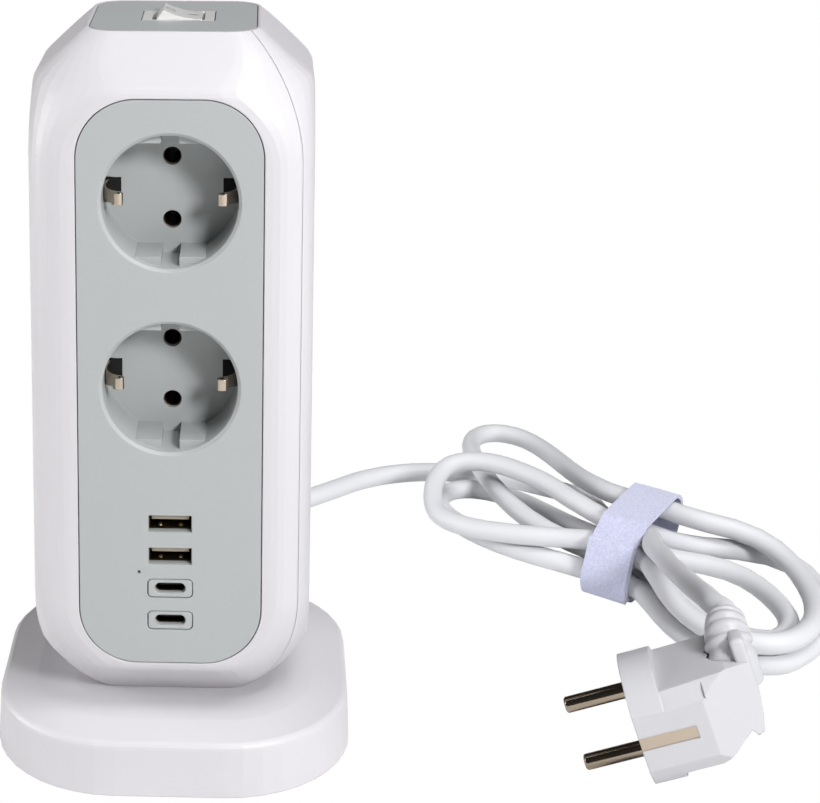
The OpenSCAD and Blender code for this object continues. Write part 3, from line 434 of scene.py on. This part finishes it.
def loop_point(s):
    """Point on the hank after s loops: straight at the strap, swelling into a lobe on each side"""
    t = math.radians(180 - 360 * s)
    c, e = math.cos(t), math.sin(t)
    f = max(abs(c) - TIED_SHARE, 0)
    g = f * f
    if c < 0:
        reach, lean, width = LEFT_LOOPS[round(s)]
        lift = 0.0
        swell = width * g / (f + LEFT_ROUNDING)
    else:
        reach, lean, lift, rear, front = RIGHT_LOOPS[min(int(s), 2)]
        swell = rear * g / (g + REAR_ROUNDING) if e > 0 else front * g / (g + FRONT_ROUNDING)
    climb = ease((s - CLIMB_FROM) / CLIMB_SPAN)
    nest = s - 2 * ease((s - NEST_FROM) / NEST_SPAN)
    shift = LOW_SHIFT * (1 - climb)
    w = e * (WAIST_HALF - STRAND_STEP * nest) - shift
    v = w + e * swell + shift * c * c + lean * (f / (1 - TIED_SHARE)) ** 1.5
    v += WAIST_SKEW * reach * c * (1 - c * c) ** 4
    z = LAYER_LOW + LAYER_STEP * climb + lift * c * c
    z += STACK_SLOPE * (w + WAIST_HALF + LOW_SHIFT) * (1 - c * c) ** 3
    return in_hank(reach * c, v, z)


def spline(places, n):
    """Smooth path through places with n points to a stretch"""
    p = [Vector(q) for q in places]
    p = [2 * p[0] - p[1]] + p + [2 * p[-1] - p[-2]]
    out = []
    for i in range(1, len(p) - 2):
        for j in range(n):
            t = j / n
            a, b, c, d = p[i - 1], p[i], p[i + 1], p[i + 2]
            out.append(0.5 * (2 * b + (c - a) * t + (2 * a - 5 * b + 4 * c - d) * t ** 2
                              + (3 * b - a - 3 * c + d) * t ** 3))
    out.append(p[-2])
    return out


def in_plug(p):
    """Point from the plug's own frame, +X into the plug from its face"""
    return PLUG_AT + PLUG_TURN.to_matrix() @ Vector(p)


def guard_point(h, out=(0.0, 0.0)):
    """Point beside the axis of the kink guard, which rises out of the plug and bends to the rear"""
    bent = max(h - GUARD_RISE, 0)
    a = min(bent / GUARD_ARC, 1) * GUARD_TURN
    tail = max(bent - GUARD_ARC, 0)
    return in_plug(GUARD_FOOT + Vector((
        GUARD_DRIFT * bent / (GUARD_L - GUARD_RISE) + out[0],
        GUARD_BEND * (1 - math.cos(a)) + tail * math.sin(a) + out[1] * math.cos(a),
        min(h, GUARD_RISE) + GUARD_BEND * math.sin(a) + tail * math.cos(a) - out[1] * math.sin(a))))


def lead_route():
    """Every point of the lead from the base to the plug"""
    first, last = round(HANK_START * HANK_RINGS), round(HANK_END * HANK_RINGS)
    hank = [loop_point(i / HANK_RINGS) for i in range(first, last + 1)]
    into = (hank[1] - hank[0]).normalized() * STRAIGHT
    away = (hank[-1] - hank[-2]).normalized() * STRAIGHT
    way = (guard_point(GUARD_L) - guard_point(GUARD_L - 0.001)).normalized()
    start = [EXIT, (0, 0.092, 0.0092), (0.0004, 0.101, 0.0066), (0.0016, 0.112, 0.0044),
             (0.006, 0.123, LYING), (0.014, 0.133, LYING), (0.027, 0.143, LYING),
             (0.041, 0.152, LYING), (0.054, 0.163, LYING), (0.067, 0.174, LYING),
             (0.082, 0.181, LYING), (0.099, 0.183, LYING), (0.118, 0.180, 0.0042),
             (0.137, 0.168, 0.005), in_hank(-0.045, 0.028, 0.0085), in_hank(-0.025, 0.014, 0.0125),
             hank[0] - 2 * into, hank[0] - into, hank[0]]
    end = [hank[-1], hank[-1] + away, hank[-1] + 2 * away, in_hank(-0.018, -0.015, 0.0144),
           in_hank(-0.033, -0.024, 0.0132), in_hank(-0.053, -0.030, 0.011),
           in_hank(-0.069, -0.029, 0.011), in_hank(-0.080, -0.019, 0.016),
           in_hank(-0.082, -0.007, 0.020), in_hank(-0.070, 0.002, 0.022),
           in_hank(-0.047, 0.003, 0.0225), in_hank(-0.028, 0, 0.0215),
           in_hank(-0.012, -0.001, 0.020), in_hank(0, -0.0015, 0.020),
           in_hank(0.010, -0.0034, 0.0208), in_hank(0.018, -0.012, 0.0232),
           (0.1636, 0.060, 0.026), (0.1629, 0.046, 0.0296), (0.1631, 0.031, 0.0336),
           (0.1632, 0.017, 0.0373), (0.1633, 0.004, 0.041), (0.1633, -0.007, 0.0444),
           (0.1638, -0.015, 0.046), guard_point(GUARD_L) + STRAIGHT * way, guard_point(GUARD_L),
           guard_point(GUARD_L) - 0.003 * way]
    return spline(start, PATH_STEPS) + hank[1:-1] + spline(end, PATH_STEPS)


def route_length(points):
    """Length along points"""
    return sum((b - a).length for a, b in zip(points, points[1:]))


# Camera, surround and floor

LENS = 91.5
SHIFT = (0.277, -0.406)
CAMERA_AT = (0.0259, -0.6061, 0.3354)
CAMERA_DOWN, CAMERA_LEFT = 0.2079, 0.0392
DIM_BELOW, DIM_ABOVE = 0.07, 0.03
FLOOR_HALF = 3


class POWERTOWER_OT_stage(bpy.types.Operator):
    """Camera, lights, floor and backdrop that match the photograph"""
    bl_idname = "power_tower.stage"
    bl_label = "Stage"

    def execute(self, context):
        scene = context.scene
        cam = bpy.data.cameras.new("camera")
        cam.sensor_width = 36
        cam.sensor_fit = "HORIZONTAL"
        cam.lens = LENS
        cam.shift_x, cam.shift_y = SHIFT
        cam.clip_end = 20
        obj = bpy.data.objects.new("camera", cam)
        obj.location = CAMERA_AT
        obj.rotation_euler = (math.pi / 2 - CAMERA_DOWN, 0, CAMERA_LEFT)
        scene.collection.objects.link(obj)
        scene.camera = obj
        scene.view_settings.view_transform = "Standard"
        scene.view_settings.look = "None"
        scene.render.film_transparent = False
        self.backdrop(scene)
        self.area("key", (0.66, -1.0, 0.8), (0.03, 0, 0.12), 0.28, 15.5)
        self.area("overhead", (0.75, -0.55, 2.2), (0.08, 0.02, 0.05), 1.2, 36)
        self.area("fill", (-1.0, 0.05, 0.3), (0, 0, 0.1), 0.6, 8)
        self.floor()
        return {"FINISHED"}

    def backdrop(self, scene):
        """White behind the object, with a dim surround that lights it"""
        world = bpy.data.worlds.new("soft_white")
        scene.world = world
        world.use_nodes = True
        tree = world.node_tree
        back = tree.nodes["Background"]
        back.inputs["Strength"].default_value = 1.0
        place = tree.nodes.new("ShaderNodeTexCoord")
        parts = tree.nodes.new("ShaderNodeSeparateXYZ")
        height = tree.nodes.new("ShaderNodeMapRange")
        height.inputs["To Min"].default_value = DIM_BELOW
        height.inputs["To Max"].default_value = DIM_ABOVE
        tree.links.new(place.outputs["Generated"], parts.inputs[0])
        tree.links.new(parts.outputs["Z"], height.inputs["Value"])
        tree.links.new(height.outputs["Result"], back.inputs["Color"])
        seen = tree.nodes.new("ShaderNodeBackground")
        seen.inputs["Color"].default_value = (1, 1, 1, 1)
        seen.inputs["Strength"].default_value = 1.0
        path = tree.nodes.new("ShaderNodeLightPath")
        pick = tree.nodes.new("ShaderNodeMixShader")
        tree.links.new(path.outputs["Is Camera Ray"], pick.inputs[0])
        tree.links.new(back.outputs[0], pick.inputs[1])
        tree.links.new(seen.outputs[0], pick.inputs[2])
        tree.links.new(pick.outputs[0], tree.nodes["World Output"].inputs[0])

    def area(self, name, at, target, size, power):
        """Square light at a place, turned to a target"""
        lamp = bpy.data.lights.new(name, "AREA")
        lamp.size = size
        lamp.energy = power
        obj = bpy.data.objects.new(name, lamp)
        obj.location = at
        obj.rotation_euler = (Vector(target) - Vector(at)).to_track_quat("-Z", "Y").to_euler()
        bpy.context.scene.collection.objects.link(obj)

    def floor(self):
        """White floor under the object"""
        bm = bmesh.new()
        bmesh.ops.create_grid(bm, x_segments=1, y_segments=1, size=FLOOR_HALF)
        mesh = bpy.data.meshes.new("floor")
        bm.to_mesh(mesh)
        bm.free()
        obj = bpy.data.objects.new("floor", mesh)
        bpy.context.scene.collection.objects.link(obj)
        n = Nodes("floor")
        tone = n.mix(n.noise(6, 2), (0.82, 0.82, 0.82), (0.86, 0.86, 0.86))
        n.link(tone, n.bsdf.inputs["Base Color"])
        n.bsdf.inputs["Roughness"].default_value = 0.9
        white = n.add("ShaderNodeEmission")
        white.inputs["Strength"].default_value = 1.0
        white.inputs["Color"].default_value = (1, 1, 1, 1)
        seen = n.add("ShaderNodeLightPath")
        pick = n.add("ShaderNodeMixShader")
        n.link(seen.outputs["Is Camera Ray"], pick.inputs[0])
        n.link(n.bsdf.outputs[0], pick.inputs[1])
        n.link(white.outputs[0], pick.inputs[2])
        n.link(pick.outputs[0], n.tree.nodes["Material Output"].inputs[0])
        mesh.materials.append(n.mat)


class POWERTOWER_OT_lead(bpy.types.Operator):
    """Mains lead from the base through the tied hank to the plug"""
    bl_idname = "power_tower.lead"
    bl_label = "Mains lead"

    def execute(self, context):
        size = context.scene.power_tower_sizes
        points = lead_route()
        curve = bpy.data.curves.new("mains_lead", "CURVE")
        curve.dimensions = "3D"
        curve.bevel_depth = size.cord_d / 2
        curve.bevel_resolution = 6
        curve.use_fill_caps = True
        line = curve.splines.new("POLY")
        line.points.add(len(points) - 1)
        for target, p in zip(line.points, points):
            target.co = (*p, 1)
        line.use_smooth = True
        obj = new_object("mains_lead", curve, "tower", bpy.data.materials["lead"])
        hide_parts("cord_tube", "cord_hank", "plug_lead")
        return {"FINISHED"}


# Strands that the strap bends round, in the waist's plane, and its gap to them

STRAP_TURNS = ((-0.0108, 0.0156), (-0.0045, 0.0208), (0.0153, 0.0241), (0.0106, 0.0147),
               (-0.015, 0.0063))
STRAP_CLEAR = 0.001
STRAP_STEPS = 12
TURN_STEPS = 8


class POWERTOWER_OT_strap(bpy.types.Operator):
    """Felt strap round the waist of the hank, with its overlapping end"""
    bl_idname = "power_tower.strap"
    bl_label = "Hank strap"

    def execute(self, context):
        size = context.scene.power_tower_sizes
        turn = HANK_TURN + math.atan(WAIST_SKEW)
        t = size.strap_t
        across = [size.strap_l * (k / STRAP_STEPS - 0.5) for k in range(STRAP_STEPS + 1)]
        rings = []
        for v, z, nv, nz in self.outline():
            rings.append([in_hank(a, v, z, turn) for a in across]
                         + [in_hank(a, v + nv * t, z + nz * t, turn) for a in reversed(across)])
        bm = bmesh.new()
        tube(bm, rings)
        obj = new_object("strap", finished("strap", bm), "tower", bpy.data.materials["felt"])
        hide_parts("hank_strap")
        return {"FINISHED"}

    def outline(self):
        """Stretched round the stack, with the free end lapped over: (v, z) and the way out"""
        r = bpy.context.scene.power_tower_sizes.cord_d / 2 + STRAP_CLEAR
        path = []
        n = len(STRAP_TURNS)
        for i in range(n):
            a, b, c = (Vector(STRAP_TURNS[(i + k) % n]) for k in (-1, 0, 1))
            into, out = (b - a).normalized(), (c - b).normalized()
            start = math.atan2(into.x, -into.y)
            turn = math.atan2(into.x * out.y - into.y * out.x, into.dot(out))
            for k in range(TURN_STEPS + 1):
                t = start + turn * k / TURN_STEPS
                way = Vector((math.cos(t), math.sin(t)))
                path.append((b.x + r * way.x, b.y + r * way.y, way.x, way.y))
        path = path[TURN_STEPS::-1] + path[:TURN_STEPS:-1]
        rise = [0.0006, 0.0012] + [0.0017] * 12
        lap = [(v + nv * g, z + nz * g, nv, nz) for (v, z, nv, nz), g in zip(path, rise)]
        return path + lap


class POWERTOWER_OT_plug(bpy.types.Operator):
    """Plug details: two pins with rounded tips, and the ribbed kink guard with its post"""
    bl_idname = "power_tower.plug"
    bl_label = "Plug"

    def execute(self, context):
        self.guard()
        self.pins()
        return {"FINISHED"}

    def post(self, bm):
        """Upright rib that backs the guard on its near side"""
        rings = []
        for z, inset in ((0.004, 0), (0.0187, 0), (0.0196, 0.0003), (0.02, 0.001)):
            half_x, half_y = (half - inset - POST_R for half in POST_HALF)
            rings.append([in_plug((POST_MID[0] + x, POST_MID[1] + y, z))
                          for x, y in corners(half_x, half_y, POST_R, 4)])
        tube(bm, rings)

    def pins(self):
        """Two plated pins with rounded tips"""
        rows = [(PIN_TIP + PIN_NOSE * (1 - math.cos(a)), PIN_R - PIN_NOSE + PIN_NOSE * math.sin(a))
                for a in [math.pi / 2 * k / 6 for k in range(7)]]
        rows += [(-0.006, PIN_R), (0.002, PIN_R)]
        bm = bmesh.new()
        for z in PIN_SIDES:
            tube(bm, [[in_plug((x, w * math.cos(t), z + w * math.sin(t))) for t in angles(48)]
                      for x, w in rows])
        obj = new_object("pins", finished("pins", bm), "tower", bpy.data.materials["plated"], 50)
        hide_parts("plug_pins")

    def guard(self):
        """Ribbed kink guard that leaves the plug upwards and bends to the rear"""
        rows = [(h, GUARD_R) for h in (0, 0.003, 0.006, 0.0085)]
        pitch = (GUARD_L - GUARD_RIBS_FROM) / GUARD_RIBS
        for i in range(GUARD_RIBS):
            h = GUARD_RIBS_FROM + i * pitch
            w = GUARD_R - GUARD_TAPER * (i + 0.5) / GUARD_RIBS
            rows += [(h, w - GUARD_GROOVE), (h + 0.0006, w - GUARD_GROOVE),
                     (h + 0.0009, w - 0.0003), (h + 0.0014, w), (h + 0.0022, w),
                     (h + pitch - 0.0004, w - 0.0003)]
        rows += [(GUARD_L - 0.0001, 0.0049), (GUARD_L, 0.0045), (GUARD_L, 0.0038),
                 (GUARD_L - 0.0015, 0.0037)]
        bm = bmesh.new()
        tube(bm, [[guard_point(h, (w * math.cos(t), w * math.sin(t))) for t in angles(48)]
                  for h, w in rows])
        self.post(bm)
        mesh = finished("kink_guard", bm)
        obj = new_object("kink_guard", mesh, "tower", bpy.data.materials["plug"], 60)
        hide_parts("plug_relief")


# Depths of the ports behind the panel's face

A_SET, C_SET, PORT_END = 0.0028, 0.0021, 0.0125
LIP = 0.0002
SHELL_FLOOR = 0.001
FRAME_END = 0.0034
FLUSH = 0.00002

# Their pieces by width and height

A_OUT, A_LIP = (0.0126, 0.0052), (0.0122, 0.0048)
A_BORE, A_FLOOR = (0.0120, 0.0046), (0.0121, 0.0047)
A_TIP, A_TONGUE = (0.0107, 0.0014), (0.0110, 0.0018)
A_TONGUE_UP = 0.00105
C_OUT, C_LIP, C_BORE = (0.0088, 0.0031), (0.0084, 0.0027), (0.0083, 0.0026)
C_TIP, C_TONGUE = (0.0062, 0.0007), (0.0066, 0.0007)
A_R, TONGUE_R, ROUND_END = 0.0003, 0.0002, 0.00001
DIMPLE = (0.0007, 0.001, 0.0005)
DIMPLE_SIDE = 0.003
DIMPLE_LOW = 0.0023
PINHOLE_OUT, PINHOLE_EDGE, PINHOLE_IN, SHADE_CORE_R = 0.0006, 0.00046, 0.00043, 0.0004


class POWERTOWER_OT_ports(bpy.types.Operator):
    """Charging ports: framed openings, shells, tongues, dimples and the pinhole of the light"""
    bl_idname = "power_tower.ports"
    bl_label = "Charging ports"

    def piece(self, name, bm, finish, replaced, slot):
        """One piece of the ports, in place of solids"""
        obj = new_object(name, finished(name, bm), "tower", bpy.data.materials[finish])
        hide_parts(*replaced)

    def execute(self, context):
        self.usb_a()
        self.usb_c()
        self.light()
        return {"FINISHED"}

    def usb_a(self):
        """Flat shells with a tongue above and two dimples below"""
        shells, tongues, dimples = bmesh.new(), bmesh.new(), bmesh.new()
        for z in USB_A:
            collar(shells, [rounded(*size, A_R, z, d) for size, d in (
                (A_OUT, PORT_END), (A_OUT, A_SET), (A_LIP, A_SET), (A_BORE, A_SET + LIP),
                (A_BORE, PORT_END))])
            tube(shells, [rounded(*A_FLOOR, A_R, z, d)
                          for d in (PORT_END - SHELL_FLOOR, PORT_END)])
            tube(tongues, [rounded(*size, TONGUE_R, z + A_TONGUE_UP, d) for size, d in (
                (A_TIP, A_SET + 0.0001), (A_TONGUE, A_SET + 0.0003),
                (A_TONGUE, PORT_END - 0.0012))])
            for x in (-DIMPLE_SIDE, DIMPLE_SIDE):
                tube(dimples, self.dimple(x, z - DIMPLE_LOW, A_SET + 0.0022))
        # The shells take the near-black metal, painted shade inside the ports
        self.piece("usb_a_shells_look", shells, "shade_dark_shells", ["usb_a_shells"], "steel")
        self.piece("usb_a_tongues_look", tongues, "cream", ["usb_a_tongues"], "dark_plastic")
        mesh = finished("usb_a_dimples", dimples)
        obj = new_object("usb_a_dimples", mesh, "tower", bpy.data.materials["gold"])

    def usb_c(self):
        """Round-ended shells with a middle tongue, each in a raised frame"""
        frames, shells, tongues = bmesh.new(), bmesh.new(), bmesh.new()
        for z in USB_C:
            collar(frames, [rounded(w, h, r, z, d) for w, h, r, d in (
                (0.0130, 0.0056, 0.0013, FRAME_END), (0.0130, 0.0056, 0.0013, 0.0003),
                (0.0126, 0.0052, 0.0011, FLUSH), (0.0093, 0.0036, 0.00179, FLUSH),
                (0.0089, 0.0032, 0.00159, 0.0004), (0.0089, 0.0032, 0.00159, FRAME_END))])
            collar(shells, [rounded(w, h, h / 2 - ROUND_END, z, d) for (w, h), d in (
                (C_OUT, PORT_END), (C_OUT, C_SET), (C_LIP, C_SET), (C_BORE, C_SET + LIP),
                (C_BORE, PORT_END))])
            tube(shells, [rounded(*C_BORE, C_BORE[1] / 2 - ROUND_END, z, d)
                          for d in (PORT_END - SHELL_FLOOR, PORT_END)])
            tube(tongues, [rounded(*size, TONGUE_R, z, d) for size, d in (
                (C_TIP, C_SET + 0.0012), (C_TONGUE, C_SET + 0.0015),
                (C_TONGUE, PORT_END - 0.0011))])
        self.piece("usb_c_frames", frames, "panel", ["usb_c_surrounds"], "grey_plastic")
        # The shells take the near-black metal, painted shade inside the ports
        self.piece("usb_c_shells_look", shells, "shade_dark_shells", ["usb_c_shells"], "steel")
        self.piece("usb_c_tongues_look", tongues, "dark", ["usb_c_tongues"], "dark_plastic")

    def light(self):
        """Pinhole with a near-black core inside, painted shade for the dark depth of the hole"""
        hole, shade_core = bmesh.new(), bmesh.new()
        collar(hole, [self.light_ring(r, d, 32) for r, d in (
            (PINHOLE_OUT, 0.006), (PINHOLE_OUT, 0.00005), (PINHOLE_EDGE, 0.00005),
            (PINHOLE_IN, 0.00025), (PINHOLE_IN, 0.006))])
        self.piece("light_pinhole", hole, "panel", ["charge_light"], "clear_light")
        # Near-black core in the pinhole: painted shade
        tube(shade_core, [self.light_ring(SHADE_CORE_R, d, 24) for d in (0.0008, 0.0059)])
        mesh = finished("light_pipe", shade_core)
        obj = new_object("light_pipe", mesh, "tower", bpy.data.materials["painted_shade_black"])

    def light_ring(self, r, depth, n):
        """Circle round the light's axis"""
        x, z = LIGHT
        return [(x + r * math.cos(t), depth - TOWER_HALF, z + r * math.sin(t)) for t in angles(n)]

    def dimple(self, x, z, depth):
        """Rings of a low pressed dimple on the floor of a shell"""
        across, along, high = DIMPLE
        y = depth - TOWER_HALF
        rings = []
        for a in [math.pi / 2 * k / 5 for k in range(6)]:
            c = max(math.cos(a), 0.05)
            rings.append([(x + across * c * math.cos(t), y + along * c * math.sin(t),
                           z + high * math.sin(a)) for t in angles(16)])
        return rings


# Profile of a clip from its foot to its curled nose, by place along the panel and depth

CLIP_PROFILE = ((0.0183, 0.0192), (0.0187, 0.0150), (0.0191, 0.0118), (0.0188, 0.0092),
                (0.0173, 0.0075), (0.0156, 0.0066), (0.0143, 0.0060), (0.0137, 0.0052),
                (0.0139, 0.0044), (0.0147, 0.0041), (0.0159, 0.0043), (0.0166, 0.0049))
CLIP_STEPS = 4
CLIP_HALF = 0.0026
CLIP_NOSE_HALF = 0.0017
CLIP_WIDE_FROM = 0.012
CLIP_THICK = 0.0005
WINDOW_IN = 0.0024
WINDOW_HALF = (0.0023, 0.00295)
SQUARE = ((1, 1), (1, -1), (-1, -1), (-1, 1))


class POWERTOWER_OT_clips(bpy.types.Operator):
    """Sprung earth strips with curled noses, two in every well"""
    bl_idname = "power_tower.clips"
    bl_label = "Earth clips"

    def execute(self, context):
        clips, shade_plates = bmesh.new(), bmesh.new()
        for level, z in enumerate(LEVELS):
            for quarter in range(4):
                if (level, quarter) == (PORT_LEVEL, PORT_SIDE):
                    continue
                for side in (-1, 1):
                    tube(clips, self.turned(self.clip(side, z), quarter))
                    # Each strip gets a near-black plate behind it, painted shade for its opening
                    tube(shade_plates, self.turned(self.window(side, z), quarter))
        mesh = finished("earth_springs", clips)
        obj = new_object("earth_springs", mesh, "tower", bpy.data.materials["springs"], 35)
        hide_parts("earth_clips")
        # Near-black plates on the well floors: painted shade for the openings behind the strips
        mesh = finished("spring_windows", shade_plates)
        obj = new_object("spring_windows", mesh, "tower", bpy.data.materials["painted_shade_black"])
        return {"FINISHED"}

    def turned(self, rings, quarter):
        """Rings turned by quarters about the tower's axis"""
        c, s = ((1, 0), (0, 1), (-1, 0), (0, -1))[quarter]
        return [[(x * c - y * s, x * s + y * c, z) for x, y, z in ring] for ring in rings]

    def clip(self, side, z):
        """Rings of a strip that runs up the well's wall, bends in and curls at its nose"""
        line = spline([(x, d, 0) for x, d in CLIP_PROFILE], CLIP_STEPS)
        rings = []
        for i, p in enumerate(line):
            way = (line[min(i + 1, len(line) - 1)] - line[max(i - 1, 0)]).normalized()
            out = Vector((-way.y, way.x, 0)) * CLIP_THICK / 2
            flare = ease(2 * p.y / CLIP_WIDE_FROM - 1)
            wide = CLIP_NOSE_HALF + (CLIP_HALF - CLIP_NOSE_HALF) * flare
            rings.append([(side * (p.x + e * out.x), p.y + e * out.y - TOWER_HALF, z + h * wide)
                          for e, h in SQUARE])
        return rings

    def window(self, side, z):
        """Rings of a thin near-black plate on the well's floor where the strip comes through,
        painted shade for the dark opening
        """
        x, (half, height) = WELL_R - WINDOW_IN, WINDOW_HALF
        return [[(side * (x + a * half), d - TOWER_HALF, z + b * height) for a, b in SQUARE]
                for d in (WELL_BACK - 0.0001, WELL_BACK)]


# Ring and bar on the rocker, in its own plane

RING_OUT, RING_IN = 0.0015, 0.0011
BAR_HALF = (0.0016, 0.00028)
INK = 0.00003
RING_AT, BAR_AT = (-0.0037, 0.0), (0.0033, 0.0)


class POWERTOWER_OT_marks(bpy.types.Operator):
    """Printed ring and bar on the rocker for off and on"""
    bl_idname = "power_tower.marks"
    bl_label = "Switch marks"

    def execute(self, context):
        bm = bmesh.new()
        x, y = RING_AT
        collar(bm, [[self.on_rocker(x + r * math.cos(t), y + r * math.sin(t), h)
                     for t in angles(32)]
                    for r, h in ((RING_OUT, 0), (RING_OUT, INK), (RING_IN, INK), (RING_IN, 0))])
        x, y = BAR_AT
        half_x, half_y = BAR_HALF
        tube(bm, [[self.on_rocker(x + a * half_x, y + b * half_y, h) for a, b in SQUARE]
                  for h in (0, INK)])
        mesh = finished("switch_marks", bm)
        obj = new_object("switch_marks", mesh, "rocker", bpy.data.materials["mark"])
        return {"FINISHED"}

    def on_rocker(self, x, y, h):
        """Point just above the dished top of the rocker as it rests"""
        z = DIP_Z - math.sqrt(DIP_R ** 2 - x ** 2) + 0.00002 + h
        c, s = math.cos(ROCKER_TILT), math.sin(ROCKER_TILT)
        return (SWITCH_X + x * c + z * s, y, ROCKER_Z + z * c - x * s)


# Nodes whose long curved faces need evened normals, and the angle of a sharp edge

EVEN_SHADED = ("front_left_casing", "rear_right_casing", "base_shell")
SHARP_FROM = math.radians(28)


class POWERTOWER_OT_finish(bpy.types.Operator):
    """Gives every piece of the frame its finish and smooth shading"""
    bl_idname = "power_tower.finish"
    bl_label = "Finishes"

    def execute(self, context):
        made = finishes()
        for finish, names in NODE_FINISH.items():
            for name in names:
                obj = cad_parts[name]
                obj.data.materials.clear()
                obj.data.materials.append(made[finish])
                for p in obj.data.polygons:
                    p.use_smooth = True
                    p.material_index = 0
                if "custom_normal" in obj.data.attributes:
                    obj.data.attributes.remove(obj.data.attributes["custom_normal"])
                obj.data.set_sharp_from_angle(angle=SHARP_FROM)
                if name in EVEN_SHADED:
                    even = obj.modifiers.new("even_shading", "WEIGHTED_NORMAL")
                    even.keep_sharp = True
                    even.weight = 50
        return {"FINISHED"}


class POWERTOWER_PT_panel(bpy.types.Panel):
    """Sizes and colours in the sidebar"""
    bl_idname = "POWERTOWER_PT_panel"
    bl_label = "Power Tower"
    bl_space_type = "VIEW_3D"
    bl_region_type = "UI"
    bl_category = "Power Tower"

    def draw(self, context):
        layout = self.layout
        for group in (context.scene.power_tower_sizes, context.scene.power_tower_colours):
            for key in group.__annotations__:
                layout.prop(group, key)
        for op in OPERATORS:
            layout.operator(op.bl_idname)


OPERATORS = [POWERTOWER_OT_stage, POWERTOWER_OT_finish, POWERTOWER_OT_lead,
             POWERTOWER_OT_strap, POWERTOWER_OT_plug, POWERTOWER_OT_ports, POWERTOWER_OT_clips,
             POWERTOWER_OT_marks]
CLASSES = [PowerTowerSizes, PowerTowerColours, *OPERATORS, POWERTOWER_PT_panel]


def register():
    """Adds the classes and the two property groups"""
    for cls in CLASSES:
        bpy.utils.register_class(cls)
    bpy.types.Scene.power_tower_sizes = bpy.props.PointerProperty(type=PowerTowerSizes)
    bpy.types.Scene.power_tower_colours = bpy.props.PointerProperty(type=PowerTowerColours)


def unregister():
    """Removes them again"""
    del bpy.types.Scene.power_tower_sizes
    del bpy.types.Scene.power_tower_colours
    for cls in reversed(CLASSES):
        bpy.utils.unregister_class(cls)


def declare_lead():
    """Lists the pieces that ride on the lead and works out the lead's length"""
    on_it = [bpy.data.objects[name] for name in ("kink_guard", "strap", "pins")]
    on_it += [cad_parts[name] for name in ("plug_body", "plug_earth_strips")]
    route_length(lead_route())


def main():
    """Builds everything"""
    register()
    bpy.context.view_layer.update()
    for op in OPERATORS:
        group, name = op.bl_idname.split(".")
        getattr(getattr(bpy.ops, group), name)()
    declare_lead()


if __name__ == "__main__":
    main()
